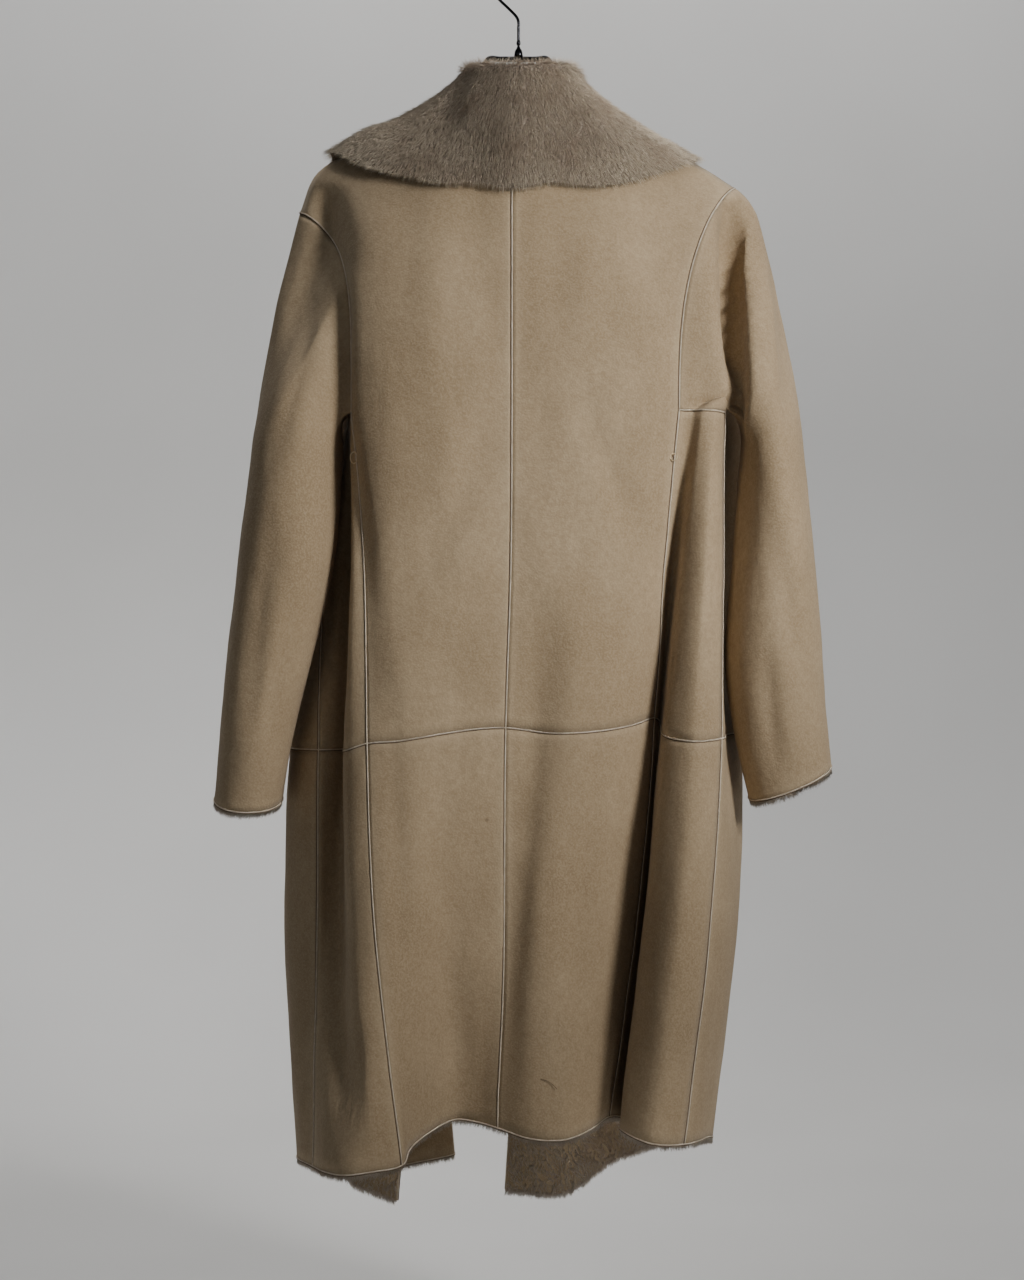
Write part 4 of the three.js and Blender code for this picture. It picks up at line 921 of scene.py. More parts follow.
@dataclass(frozen=True)
class LooseWool:
    """The wool's locks: dark at the root, paler at the tip, in warmer and greyer tufts."""

    name: str = "loose_wool"
    root: tuple = shade(168, 150, 130)
    length: tuple = shade(214, 197, 172)
    tip: tuple = shade(246, 234, 208)
    warm: tuple = shade(156, 130, 106)

    def make(self) -> bpy.types.Material:
        """Makes the finish."""
        recipe = Recipe(self.name, 0.85)
        uv = recipe.add("ShaderNodeUVMap", uv_map="lock").outputs[0]
        parts = recipe.add("ShaderNodeSeparateXYZ", {0: uv})
        colour = recipe.blend(parts.outputs[1], self.root, self.length)
        tufts = recipe.cloud(0.035, 4, 0.4, 0.66)
        colour = recipe.blend(recipe.scaled(tufts, 0.6), colour, self.root)
        colour = recipe.blend(recipe.scaled(recipe.cloud(0.07, 3, 0.5, 0.66), 0.7), colour, self.warm)
        own = recipe.add("ShaderNodeMapRange", {"Value": parts.outputs[0], "From Min": 0.35, "To Max": 0.8})
        pale = recipe.add("ShaderNodeMath", {0: own.outputs[0], 1: parts.outputs[1]}, operation="MULTIPLY")
        recipe.feed(recipe.blend(pale.outputs[0], colour, self.tip), "Base Color")
        recipe.set("Specular IOR Level", 0.2)
        recipe.set("Sheen Weight", 0.1)
        return recipe.material


@dataclass(frozen=True)
class PlainThread:
    """Thread, skin edges and the painted shadow lines beside the seams: one colour that varies a little along it."""

    name: str
    colour: tuple
    other: tuple
    roughness: float = 0.9

    def make(self) -> bpy.types.Material:
        """Makes the finish."""
        recipe = Recipe(self.name, self.roughness)
        colour = recipe.blend(recipe.cloud(0.008, 3, 0.3, 0.7), self.colour, self.other)
        recipe.feed(colour, "Base Color")
        recipe.bump(recipe.cloud(0.0012, 3, 0.3, 0.7), 0.0003)
        return recipe.material


@dataclass(frozen=True)
class BlackChrome:
    """The hanger's dark plating, a little smeared where it is handled."""

    colour: tuple = (0.024, 0.024, 0.027, 1.0)
    brushed: tuple = (0.06, 0.06, 0.065, 1.0)

    def make(self) -> bpy.types.Material:
        """Makes the finish."""
        recipe = Recipe("black_chrome", 0.2, 1.0)
        smears = recipe.cloud(0.012, 4, 0.35, 0.75)
        recipe.feed(recipe.blend(smears, self.colour, self.brushed), "Base Color")
        rough = recipe.add("ShaderNodeMapRange", {"Value": smears, "To Min": 0.14, "To Max": 0.34})
        recipe.feed(rough.outputs["Result"], "Roughness")
        recipe.bump(recipe.cloud(0.002, 2, 0.2, 0.8), 0.00004)
        return recipe.material


def finished(piece: bpy.types.Object, slot: str, *materials: bpy.types.Material) -> bpy.types.Object:
    """Gives a piece its materials."""
    piece.data.materials.clear()
    for material in materials:
        piece.data.materials.append(material)
    return piece


@dataclass(frozen=True)
class Finishes:
    """Every material that the coat and its hanger are made in."""

    suede: bpy.types.Material
    clipped: bpy.types.Material
    collar: bpy.types.Material
    lining: bpy.types.Material
    welt: bpy.types.Material
    shadow: bpy.types.Material
    thread: bpy.types.Material
    chrome: bpy.types.Material

    @classmethod
    def mixed(cls) -> "Finishes":
        """Makes them all."""
        return cls(
            suede=Suede().make(),
            clipped=ClippedWool().make(),
            collar=LooseWool("collar_wool").make(),
            lining=LooseWool("lining_wool", shade(168, 153, 136), shade(208, 194, 175), shade(232, 220, 202)).make(),
            welt=PlainThread("skin_edge", shade(222, 208, 186), shade(196, 180, 156)).make(),
            # Painted shadow: the dark brown of the lines laid beside the raised seams, where their shade falls.
            shadow=PlainThread("seam_shadow", shade(96, 78, 60), shade(118, 98, 76)).make(),
            thread=PlainThread("thread", shade(236, 216, 180), shade(204, 180, 142)).make(),
            chrome=BlackChrome().make(),
        )


@dataclass
class Body:
    """The body of the coat: six panels, each in an upper part and a skirt."""

    pattern: Pattern
    panels: tuple[tuple[str, str, str, int], ...] = (
        ("front_left", "left_front_edge", "left_side_seam", 0),
        ("side_left", "left_side_seam", "left_princess", UNDERARM_ROW),
        ("back_left", "left_princess", "back_centre", 0),
        ("back_right", "back_centre", "right_princess", 0),
        ("side_right", "right_princess", "right_side_seam", UNDERARM_ROW),
        ("front_right", "right_side_seam", "right_front_edge", 0),
    )

    def build(self, finishes: Finishes) -> None:
        """Makes the panels and the wool that shows at their hems."""
        for name, first, last, top in self.panels:
            for part, start, end in (("upper", top, HIP_ROW), ("skirt", HIP_ROW, HEM_ROW)):
                outer, inward = self.pattern.cut(start, end, first, last)
                piece = shell(f"suede_{name}_{part}", outer, outer + inward * HIDE)
                finished(piece, "suede", finishes.suede, finishes.clipped)
                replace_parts(piece, f"{name}_{part}")
        self.hem_wool(finishes)

    def hem_wool(self, finishes: Finishes) -> None:
        """Grows the wool that hangs below the hem and the wool inside near it."""
        grid, inward = self.pattern.grid[-9:], self.pattern.inward[-9:]
        down = np.zeros_like(grid)
        down[..., 2] = -1
        locks = Locks(seed=11, length=8.0, width=0.8, spread=0.9, rise=0.1)
        edge = np.stack([grid[-1] + inward[-1] * 0.9, grid[-1] + inward[-1] * (HIDE + 0.3)])
        edge[..., 2] += 1.5
        roots, ways, outs, _ = locks.scatter(edge, down[-2:], -inward[-2:], 15000)
        finished(locks.grow("wool_hem", roots, ways, outs), "wool", finishes.lining)
        locks = Locks(seed=12, length=7.0, width=1.0, spread=1.3, rise=0.5)
        inside = grid + inward * (HIDE - 0.3)
        front = inside.shape[1] * 3 // 7
        for name, columns in (("left", slice(0, front)), ("right", slice(-front, None))):
            roots, ways, outs, _ = locks.scatter(inside[:, columns], down[:, columns], inward[:, columns], 16000)
            piece = locks.grow(f"wool_inside_{name}", roots, ways, outs, 0.4)
            finished(piece, "wool", finishes.lining)


@dataclass
class Sleeve:
    """One sleeve, a flattened tube that hangs from its armhole."""

    side: str
    pattern: Pattern
    sections: tuple[Section, ...]
    head: Departure
    under: Departure
    creases: tuple[Crease, ...] = ()
    eased: tuple[float, float, float] = (0.0, 0.0, 0.0)
    eased_reach: float = 15.0
    eased_turns: int = 24
    cap_rows: int = 28
    tube_rows: int = 40

    def draw(self) -> tuple[np.ndarray, np.ndarray]:
        """Draws the sleeve as a looped grid with its inward directions."""
        sign = -1 if self.side == "left" else 1
        places = self.pattern.armhole(self.side)
        start = np.array([self.pattern.grid[row, column] for row, column, _ in places])
        total = places[-1][2] + 1 / self.pattern.down[0]
        turn = np.array([math.tau * at / total for *_, at in places])[:, None]
        ring = [self.ring(section, sign, turn) for section in self.sections]
        beneath = (1 - np.cos(turn)) / 2
        reach = np.linalg.norm(start - ring[0], axis=1, keepdims=True)
        out = sign * mix(self.head.out, self.under.out, beneath)
        fall = -mix(self.head.down, self.under.down, beneath)
        leave = unit(np.hstack([out, np.zeros_like(out), fall])) * mix(self.head.pull, self.under.pull, beneath) * reach
        arrive = unit(ring[1] - ring[0]) * mix(self.head.arrive, self.under.arrive, beneath) * reach
        rows = []
        for row in range(self.cap_rows):
            s = row / self.cap_rows
            place = start * (2 * s**3 - 3 * s**2 + 1) + leave * (s**3 - 2 * s**2 + s)
            place = place + ring[0] * (3 * s**2 - 2 * s**3) + arrive * (s**3 - s**2)
            rows.append(creased(place, (214, -246), (222, -440), 34, 18) if row else place)
        shares = np.linspace(0, 1, self.tube_rows + 1)
        tube = np.stack([Curve([r[k] for r in ring]).at(shares) for k in range(len(start))], axis=1)
        grid = np.concatenate([np.stack(rows), tube])
        first = np.array([self.pattern.inward[row, column] for row, column, _ in places])
        if self.side == "right":
            grid, first = grid[:, ::-1], first[::-1]
        grid = self.ease(self.finer(grid))
        first = unit(np.stack([first, first + np.roll(first, -1, axis=0)], axis=1).reshape(-1, 3))
        share = np.clip(np.arange(len(grid)) / 6, 0, 1)[:, None]
        grid = pressed(grid, self.walls(grid, first), self.creases, share)
        grid = ruffled(grid, self.walls(grid, first), share)
        return grid, self.walls(grid, first)

    @staticmethod
    def finer(grid: np.ndarray) -> np.ndarray:
        """Puts a smooth column between every two, and straight places between them along the armhole."""
        after = np.roll(grid, -1, axis=1)
        middle = (9 * (grid + after) - np.roll(grid, 1, axis=1) - np.roll(grid, -2, axis=1)) / 16
        middle[0] = (grid[0] + after[0]) / 2
        return np.stack([grid, middle], axis=2).reshape(len(grid), -1, 3)

    @staticmethod
    def walls(grid: np.ndarray, first: np.ndarray) -> np.ndarray:
        """Gives the ways into the sleeve, with those of its first row as the armhole has them."""
        inward = inward_of(np.concatenate([grid[:, -1:], grid, grid[:, :1]], axis=1))[:, 1:-1]
        inward[0] = first
        return inward

    def ease(self, grid: np.ndarray) -> np.ndarray:
        """Smooths the cloth round the place where the seam's corner would pucker it."""
        eased = grid.copy()
        for _ in range(self.eased_turns):
            around = (np.roll(eased, 1, axis=1) + np.roll(eased, -1, axis=1))[1:-1] + eased[:-2] + eased[2:]
            gap = np.linalg.norm(eased[1:-1] - self.eased, axis=-1, keepdims=True) / self.eased_reach
            eased[1:-1] += (around / 4 - eased[1:-1]) * np.exp(-(gap**2))
        return eased

    def ring(self, section: Section, sign: int, turn: np.ndarray) -> np.ndarray:
        """Gives a section's places, turning from the outer end of the ring round the back."""
        out = sign * section.width * np.cos(turn)
        back = -section.depth * np.sin(turn)
        lift = math.tan(math.radians(section.side)) * section.width * np.cos(turn)
        lift = lift + math.tan(math.radians(section.forward)) * back
        return np.hstack([section.across + out, section.deep + back, section.height + lift])

    def build(self, finishes: Finishes) -> np.ndarray:
        """Makes the sleeve with the wool at its cuff, and gives the places round its cuff's edge, with the same places
        a millimetre outwards.
        """
        grid, inward = self.draw()
        piece = shell(f"suede_sleeve_{self.side}", grid, grid + inward * HIDE, looped=True)
        finished(piece, "suede", finishes.suede, finishes.clipped)
        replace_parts(piece, f"sleeve_{self.side}")
        whole = np.concatenate([grid, grid[:, :1]], axis=1)
        into = np.concatenate([inward, inward[:, :1]], axis=1)
        down = unit(whole[-1:] - whole[-4:-3]).repeat(2, axis=0)
        edge = np.stack([whole[-1] + into[-1] * 0.9, whole[-1] + into[-1] * (HIDE + 0.3)]) - down * 1.5
        locks = Locks(seed=21, length=9.0, width=0.75, spread=0.9, rise=0.1)
        roots, ways, outs, _ = locks.scatter(edge, down, -into[-2:], 4500)
        finished(locks.grow(f"wool_cuff_{self.side}", roots, ways, outs), "wool", finishes.lining)
        return np.concatenate([whole[-1:], whole[-1:] - into[-1:]])


@dataclass
class Collar:
    """The wide shawl collar, turned over so that its wool faces out."""

    pattern: Pattern
    steps: int = 6
    neck_middle: tuple[float, float] = (-6.0, 4.0)

    def run(self, stations: tuple[Station, ...]) -> list[dict]:
        """Gives the stations with more between them, as places on the pattern and sizes."""
        def at(place: tuple[str, float, float]) -> np.ndarray:
            return np.array([self.pattern.columns[place[0]] + place[1], place[2], 0.0])

        edges = Curve([at(station.edge) for station in stations])
        found = []
        for i, (here, after) in enumerate(zip(stations, stations[1:])):
            last = i == len(stations) - 2
            for step in range(self.steps + (1 if last else 0)):
                share = step / self.steps
                seam = mix(at(here.seam), at(after.seam), share)
                edge = edges.at((i + share) / (len(stations) - 1))
                sizes = {key: mix(getattr(here, key), getattr(after, key), share)
                         for key in ("height", "lean", "roll", "neck")}
                lift = [mix(a, b, share) for a, b in zip(here.lift, after.lift)]
                found.append({"seam": (seam[0], seam[1]), "edge": (edge[0], max(edge[1], 0.0)), "lift": lift, **sizes})
        return found

    def seam_frame(self, run: list[dict], i: int) -> tuple[np.ndarray, np.ndarray, np.ndarray]:
        """Gives a station's place on the seam, the way up out of it and the way in to the neck."""
        def seam(k: int) -> np.ndarray:
            return self.pattern.place(*run[min(max(k, 0), len(run) - 1)]["seam"], self.pattern.grid)

        here = seam(i)
        along = seam(i + self.steps // 2) - seam(i - self.steps // 2)
        inward = unit(self.pattern.place(*run[i]["seam"], self.pattern.inward))
        out_of_seam = unit(np.cross(along, inward))
        to_middle = unit(np.array([self.neck_middle[0] - here[0], self.neck_middle[1] - here[1], 0]))
        neck = run[i]["neck"]
        up = unit(mix(out_of_seam, np.array([0, 0, 1.0]), neck))
        return here, up, unit(mix(inward, to_middle, neck))

    def draw(self) -> tuple[np.ndarray, np.ndarray, int]:
        """Draws the wool side: its places and inward directions, and the column at the nape."""
        left = (self.run(COLLAR_LEFT) + self.run(COLLAR_LEFT_FRONT)[1:])[::-1]
        right = self.run(COLLAR_RIGHT) + self.run(COLLAR_RIGHT_FRONT)[1:]
        run = left + right[1:]
        columns = []
        for i, station in enumerate(run):
            here, up, into = self.seam_frame(run, i)
            height, lean, roll = station["height"], station["lean"], station["roll"]
            arc = []
            for degrees in range(0, 181, 20):
                angle = math.radians(degrees)
                rise, inwards = height - roll + roll * math.sin(angle), lean + roll * math.cos(angle)
                arc.append(here + up * rise + into * inwards)
            foot = here + up * 0.8 + into * 4.5
            neck = [mix(foot, arc[0], share) for share in (0, 0.35, 0.7)]

            def over(share: float) -> tuple[float, float]:
                seam, edge = station["seam"], station["edge"]
                return mix(seam[0], edge[0], share), mix(seam[1], edge[1], share)

            lifts = station["lift"]
            fall = Curve([arc[-1], self.pattern.lifted(over(0.42), lifts[0]),
                          self.pattern.lifted(over(0.72), lifts[1]), self.pattern.lifted(station["edge"], lifts[2])])
            length = np.linalg.norm(np.diff(fall.at(np.linspace(0, 1, 12)), axis=0), axis=1).sum()
            columns.append([*neck, *arc, *fall.at(np.linspace(0, 1 - 6.5 / max(length, 20), 19))[1:]])
        grid = np.array(columns).transpose(1, 0, 2)
        return grid, inward_of(grid), len(left) - 1

    def build(self, finishes: Finishes) -> None:
        """Makes both halves of the collar and the wool that covers them."""
        grid, inward, nape = self.draw()
        share = np.clip(np.arange(len(grid)) / 12, 0, 1)[:, None]
        grid = ruffled(grid, inward, share)
        down = np.zeros_like(grid)
        down[..., 2] = -1
        fall = np.gradient(grid, axis=0)
        flat = down - (down * inward).sum(-1, keepdims=True) * inward
        way = unit(unit(fall) * np.where(np.arange(len(grid)) < 8, 0.15, 0.55)[:, None, None] + flat)
        base = grid + inward * COLLAR_SINK
        last = grid.shape[1] - 1
        for side, first, end, node in (("left", 0, nape, "collar_left"), ("right", nape, last, "collar_right")):
            columns = slice(first, end + 1)
            piece = shell(f"wool_skin_{side}", base[:, columns], base[:, columns] + inward[:, columns] * 1.6)
            finished(piece, "wool", finishes.clipped, finishes.suede)
            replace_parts(piece, node)
            middle = (first + end) // 2
            back = (middle, end) if side == "left" else (first, middle)
            front = (first, middle) if side == "left" else (middle, end)
            for part, (a, b), seed, count in (("back", back, 31, 36000), ("front", front, 32, 17000)):
                cut = slice(a, b + 1)
                locks = Locks(seed=seed + (side == "right") * 5, length=9.5, width=0.46, spread=0.3, rise=0.34, tuft=0.12)
                roots, ways, outs, fallen = locks.scatter(base[:, cut], way[:, cut], -inward[:, cut], count)
                light = 0.44 + 0.52 * np.clip((fallen - 0.5) / 0.5, 0, 1) ** 1.5
                stand = 1.3 * np.exp(-(((fallen - 0.24) / 0.09) ** 2))
                piece = locks.grow(f"wool_collar_{side}_{part}", roots, ways, outs, light, stand)
                finished(piece, "wool", finishes.collar)


@dataclass
class Trims:
    """The sewn lines of the body and sleeves, the thread loops and the loose thread."""

    pattern: Pattern

    def along(self, rows: tuple[float, float], name: str) -> tuple[np.ndarray, np.ndarray]:
        """Gives the places and ways out along a line of the pattern between two rows."""
        start, end = (int(np.searchsorted(self.pattern.rows, row)) for row in rows)
        column = self.pattern.columns[name] * self.pattern.across
        return self.pattern.grid[start : end + 1, column], -self.pattern.inward[start : end + 1, column]

    def round(self, row: float) -> tuple[np.ndarray, np.ndarray]:
        """Gives the places and ways out along a whole row."""
        at = int(np.searchsorted(self.pattern.rows, row))
        return self.pattern.grid[at], -self.pattern.inward[at]

    def armhole(self, side: str) -> tuple[np.ndarray, np.ndarray]:
        """Gives the places and ways out round an armhole."""
        under = int(np.searchsorted(self.pattern.rows, UNDERARM_ROW))
        places = self.pattern.armhole(side)
        grid = np.array([self.pattern.grid[row, column] for row, column, _ in places])
        princess, front = places[0][1], places[-1][1]
        inside = 1 if side == "left" else -1
        out = []
        for row, column, _ in places:
            if row >= under:
                out.append(-self.pattern.inward[min(row + 1, len(self.pattern.rows) - 1), column])
            else:
                out.append(-self.pattern.inward[row, column + (inside if column == princess else -inside)])
        return grid, np.array(out)

    def build(self, finishes: Finishes, cuffs: list) -> None:
        """Makes the raised seam lines with painted shadow lines beside them, and the threads."""
        runs = [self.along((1, HEM_ROW), "back_centre"), self.round(HIP_ROW), self.round(HEM_ROW)]
        for side in ("left", "right"):
            runs += [self.along((UNDERARM_ROW, HEM_ROW), f"{side}_princess"),
                     self.along((UNDERARM_ROW, HEM_ROW), f"{side}_side_seam"), self.armhole(side),
                     self.along((0, HEM_ROW), f"{side}_front_edge")]
        runs += [(cuff[0], cuff[1] - cuff[0]) for cuff in cuffs]
        welts, shadows = [], []
        for places, out in runs:
            way = unit(np.gradient(places, axis=0))
            beside = unit(np.cross(way, out))
            welts.append(places + unit(out) * 0.25)
            # Each shadow line is a dark cord beside its welt: painted shadow where the raised seam's shade falls.
            shadows.append(places + unit(out) * 0.02 + beside * 1.25)
        finished(cords("seam_welts", welts, 0.66), "suede", finishes.welt)
        finished(cords("seam_shadows", shadows, 0.42), "suede", finishes.shadow)
        self.threads(finishes)

    def on_back(self, across: float, height: float) -> tuple[np.ndarray, np.ndarray]:
        """Finds the place on the cloth facing -Y at a distance across and a height."""
        flat = self.pattern.grid[..., [0, 2]] - (across, height)
        gap = np.where(self.pattern.inward[..., 1] > 0.2, np.nan_to_num((flat**2).sum(-1), nan=1e9), 1e9)
        at = np.unravel_index(np.argmin(gap), gap.shape)
        return self.pattern.grid[at], -self.pattern.inward[at]

    def threads(self, finishes: Finishes) -> None:
        """Makes the two belt loops of thread and the loose end near the hem."""
        paths = []
        for across, height, size in ((-158, -501, 5.6), (148, -500, 3.2)):
            place, out = self.on_back(across, height)
            turns = np.linspace(0, math.tau, 26)
            loop = np.stack([np.sin(turns) * size * 0.8, np.zeros(26), np.cos(turns) * size], axis=1)
            paths.append(place + out * 2.4 + loop + out * np.sin(turns)[:, None] * 1.2)
        place, out = self.on_back(21, -1104)
        steps = np.linspace(0, 1, 14)[:, None]
        loose = place + out * (0.8 + 0.6 * steps) + steps * (16, 0, -10) + np.sin(steps * 3) * (0, 0, 2.5)
        finished(cords("threads", paths, 0.6), "suede", finishes.thread)
        # The loose thread is real dark thread; it shares the dark brown of the painted seam shadows.
        finished(cords("loose_thread", [loose], 0.34), "suede", finishes.shadow)


@dataclass
class Hanger:
    """The wire hanger: one rod bent into two arms, and a hook that turns in a swivel."""

    pattern: Pattern
    rod_radius: float = 3.0
    bar_height: float = -99.8
    hook_radius: float = 1.5
    crown_radius: float = 25.0

    def under_shoulder(self, side: str) -> list[np.ndarray]:
        """Gives the places of an arm under a shoulder seam, from the neck outwards."""
        away = -1 if side == "left" else 1
        places = []
        column = self.pattern.columns[f"{side}_neck"] + away
        while column != self.pattern.columns[f"{side}_edge_fold"] + away:
            at = column * self.pattern.across
            places.append(self.pattern.grid[0, at] + self.pattern.inward[0, at] * (5.8 + self.rod_radius))
            column += away
        return places

    def build(self, finishes: Finishes) -> None:
        """Makes the rod, the hook, the swivel and the rivet under the bar."""
        bends = [(-64, -158), (-47, -143), (-37, -117), (-29, self.bar_height), (-18, self.bar_height),
                 (18, self.bar_height), (29, self.bar_height), (36, -115), (42, -140), (55, -159)]
        path = self.under_shoulder("left")[::-1] + [np.array([x, 0, z]) for x, z in bends] + self.under_shoulder("right")
        rod = cords("hanger_rod", [Curve(path).at(np.linspace(0, 1, 220))], self.rod_radius, 4)
        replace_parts(finished(rod, "black_chrome", finishes.chrome), "hanger_arms")
        hook = []
        for degrees in range(-20, 221, 20):
            angle = math.radians(degrees)
            rise = self.hook_radius - self.crown_radius + self.crown_radius * math.sin(angle)
            hook.append((self.crown_radius * math.cos(angle), 0, rise))
        hook += [(-9.5, 0, -49), (-1.5, 0, -57.5), (0.4, 0, -62), (0.5, 0, -70), (0.5, 0, -82)]
        wire = cords("hook_wire", [Curve(hook).at(np.linspace(0, 1, 160))], self.hook_radius, 4)
        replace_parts(finished(wire, "black_chrome", finishes.chrome), "hanger_hook")
        swivel = [(0, -96.9), (4.2, -96.9), (4.4, -96.2), (4.2, -94.5), (3.6, -91.5), (2, -89), (1.2, -87),
                  (1.2, -86.2), (2, -85.2), (2.2, -83.6), (1.8, -82), (1.1, -81.1), (0, -81.1)]
        rivet = [(0, -105.6), (1.4, -105.4), (2, -104.2), (2, -102.7), (0, -102.7)]
        for name, profile, node in (("swivel", swivel, "hanger_swivel"), ("rivet", rivet, "hanger_rivet")):
            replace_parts(finished(self.turned(name, profile), "black_chrome", finishes.chrome), node)

    def turned(self, name: str, profile: list) -> bpy.types.Object:
        """Turns a profile of half widths and heights about the hook's shank."""
        bm = bmesh.new()
        verts = [bm.verts.new(((radius + 0.5) * MM, 0, height * MM)) for radius, height in profile]
        edges = [bm.edges.new(pair) for pair in zip(verts, verts[1:])]
        bmesh.ops.spin(bm, geom=verts + edges, cent=(0.5 * MM, 0, 0), axis=(0, 0, 1), angle=math.tau, steps=40,
                       use_merge=True)
        bmesh.ops.remove_doubles(bm, verts=bm.verts, dist=1e-6)
        bmesh.ops.recalc_face_normals(bm, faces=bm.faces)
        for face in bm.faces:
            face.smooth = True
        mesh = bpy.data.meshes.new(name)
        bm.to_mesh(mesh)
        bm.free()
        return placed(name, mesh)


@dataclass(frozen=True)
class Lamp:
    """A soft lamp: where it stands, what it faces, its size, its power and its cone in degrees."""

    name: str
    place: tuple[float, float, float]
    size: float
    power: float
    target: tuple[float, float, float] = (0.0, 0.0, -0.6)
    spread: float = 180.0

    def light(self) -> None:
        """Puts the lamp into the scene."""
        data = bpy.data.lights.new(self.name, "AREA")
        data.shape = "DISK"
        data.size = self.size
        data.energy = self.power
        data.spread = math.radians(self.spread)
        lamp = bpy.data.objects.new(self.name, data)
        lamp.location = self.place
        lamp.rotation_euler = (Vector(self.target) - Vector(self.place)).to_track_quat("-Z", "Y").to_euler()
        bpy.context.scene.collection.objects.link(lamp)


@dataclass
class Studio:
    """The pale floor that sweeps up behind the coat, clear from outside, the lamps and the camera."""

    floor_height: float = -1.42
    lamps: tuple[Lamp, ...] = (
        Lamp("key", (1.7, -1.85, 0.3), 0.7, 4.5, (0.1, 0.0, -0.47), 42.0),
        Lamp("fill", (-1.8, -4.0, 1.1), 2.4, 7.8, (0.0, 0.0, -0.3)),
        Lamp("beyond", (0.0, 0.9, 2.4), 2.4, 82.0, (0.0, 2.6, 0.1)),
        Lamp("low", (0.9, -2.3, -1.25), 0.2, 0.02, (0.09, 0.08, -1.2), 5.0),
    )

    def build(self) -> None:
        """Builds the floor, lights it and sets the camera up."""
        bm = bmesh.new()
        profile = [(-4.5, 0.0), (1.4, 0.0)]
        profile += [(1.4 + 1.1 * math.sin(a), 1.1 - 1.1 * math.cos(a)) for a in np.linspace(0.1, math.pi / 2, 16)]
        profile += [(2.5, 4.6)]
        verts = [bm.verts.new((-6, y, self.floor_height + z)) for y, z in profile]
        edges = [bm.edges.new(pair) for pair in zip(verts, verts[1:])]
        moved = bmesh.ops.extrude_edge_only(bm, edges=edges)["geom"]
        bmesh.ops.translate(bm, verts=[v for v in moved if isinstance(v, bmesh.types.BMVert)], vec=(12, 0, 0))
        bmesh.ops.recalc_face_normals(bm, faces=bm.faces)
        lowest = min(bm.faces, key=lambda face: face.calc_center_median().z)
        if lowest.normal.z < 0:
            bmesh.ops.reverse_faces(bm, faces=list(bm.faces))
        for face in bm.faces:
            face.smooth = True
        mesh = bpy.data.meshes.new("floor")
        bm.to_mesh(mesh)
        bm.free()
        floor = bpy.data.objects.new("floor", mesh)
        bpy.context.scene.collection.objects.link(floor)
        paper = Recipe("pale_paper", 0.9)
        paper.feed(paper.blend(paper.cloud(0.6, 2, 0.3, 0.7), (0.74, 0.725, 0.70, 1), (0.79, 0.775, 0.75, 1)), "Base Color")
        behind = paper.add("ShaderNodeNewGeometry").outputs["Backfacing"]
        seen = paper.add("ShaderNodeMath", {0: 1.0, 1: behind}, operation="SUBTRACT")
        paper.feed(seen.outputs[0], "Alpha")
        floor.data.materials.append(paper.material)
        for lamp in self.lamps:
            lamp.light()
        world = bpy.data.worlds.new("room")
        world.use_nodes = True
        world.node_tree.nodes["Background"].inputs[0].default_value = (0.72, 0.84, 1.0, 1)
        world.node_tree.nodes["Background"].inputs[1].default_value = 0.075
        bpy.context.scene.world = world
        data = bpy.data.cameras.new("camera")
        data.lens = 73.1
        data.sensor_width = 36
        data.sensor_fit = "AUTO"
        camera = bpy.data.objects.new("camera", data)
        camera.location = (-0.006, -2.6, -0.6808)
        camera.rotation_euler = (math.pi / 2, 0, 0)
        bpy.context.scene.collection.objects.link(camera)
        bpy.context.scene.camera = camera


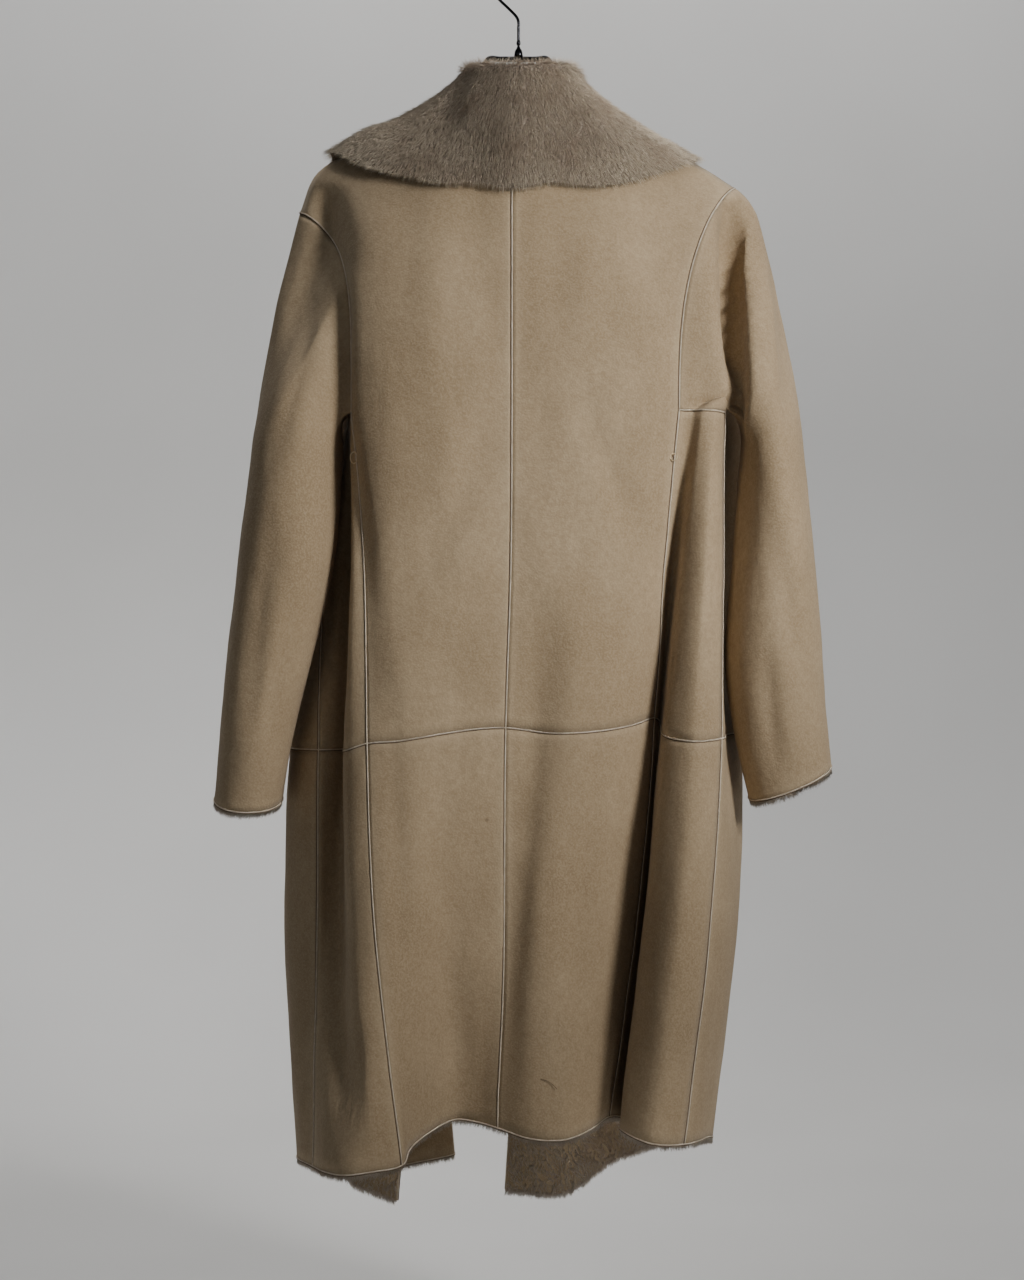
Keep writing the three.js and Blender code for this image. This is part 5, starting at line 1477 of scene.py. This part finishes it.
BODY_CREASES = (
    Crease(((-120, -700), (-112, -900), (-100, -1080)), 5.0, 16),
    Crease(((28, -640), (18, -760), (6, -880), (-16, -1030), (-20, -1120)), 8.0, 18),
    Crease(((-30, -470), (-60, -560), (-110, -640)), 3.0, 16),
    Crease(((60, -440), (90, -520), (120, -600)), 3.5, 15),
    Crease(((-150, -1040), (-155, -1140)), 3.5, 6),
    Crease(((-168, -1030), (-172, -1150)), 3.0, 6),
    Crease(((-60, -900), (-66, -1000), (-58, -1120)), 3.0, 14),
    Crease(((66, -820), (60, -960), (54, -1120)), 3.5, 14),
    Crease(((-140, -640), (-150, -800), (-160, -1000)), 4.0, 18, Side.FRONT),
    Crease(((90, -560), (120, -760), (130, -980)), 5.0, 18, Side.FRONT),
    Crease(((170, -520), (180, -700), (170, -900)), 4.0, 16, Side.FRONT),
)
LEFT_CREASES = (
    Crease(((-196, -330), (-214, -420), (-240, -520)), 4.0, 12),
    Crease(((-236, -560), (-252, -660), (-262, -780)), 4.0, 13),
    Crease(((-212, -640), (-232, -730), (-240, -800)), 3.0, 10),
    Crease(((-230, -420), (-214, -520), (-236, -640)), 4.5, 14, Side.FRONT),
)
RIGHT_CREASES = (
    Crease(((203, -204), (209, -270), (213, -340), (214, -400), (216, -446), (214, -500)), 24.0, 9.5, Side.BACK, 0.5),
    Crease(((214, -212), (222, -286), (229, -350), (230, -410), (230, -460), (226, -520)), -20.0, 8, Side.BACK, 2.2),
    Crease(((244, -560), (262, -640), (280, -740)), 4.0, 12),
    Crease(((240, -680), (246, -760), (250, -820)), 3.5, 10),
    Crease(((262, -330), (262, -450), (272, -560)), 3.0, 12),
    Crease(((262, -420), (238, -540), (262, -660)), 4.5, 14, Side.FRONT),
)


def corners(box: tuple) -> list[list[float]]:
    """Gives a box's two corners as plain numbers."""
    return [[round(value, 6) for value in corner] for corner in box]


def main() -> None:
    """Builds the coat on its hanger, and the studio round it."""
    logging.basicConfig(level=logging.INFO, format="%(message)s")
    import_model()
    Studio().build()
    finishes = Finishes.mixed()
    pattern = Pattern(creases=BODY_CREASES)
    Hanger(pattern).build(finishes)
    Body(pattern).build(finishes)
    left = Sleeve("left", pattern, LEFT_SLEEVE, Departure(0.28, 1, 0.9, 0.9), Departure(1, 0.1, 0.9, 0.9), LEFT_CREASES)
    right = Sleeve("right", pattern, RIGHT_SLEEVE, Departure(1, 0.45, 0.35, 0.9), Departure(0.5, -0.86, 1.2, 1.2),
                   RIGHT_CREASES, (174, -76, -449))
    cuffs = [sleeve.build(finishes).reshape(2, -1, 3) for sleeve in (left, right)]
    Trims(pattern).build(finishes, cuffs)
    Collar(pattern).build(finishes)


if __name__ == "__main__":
    main()
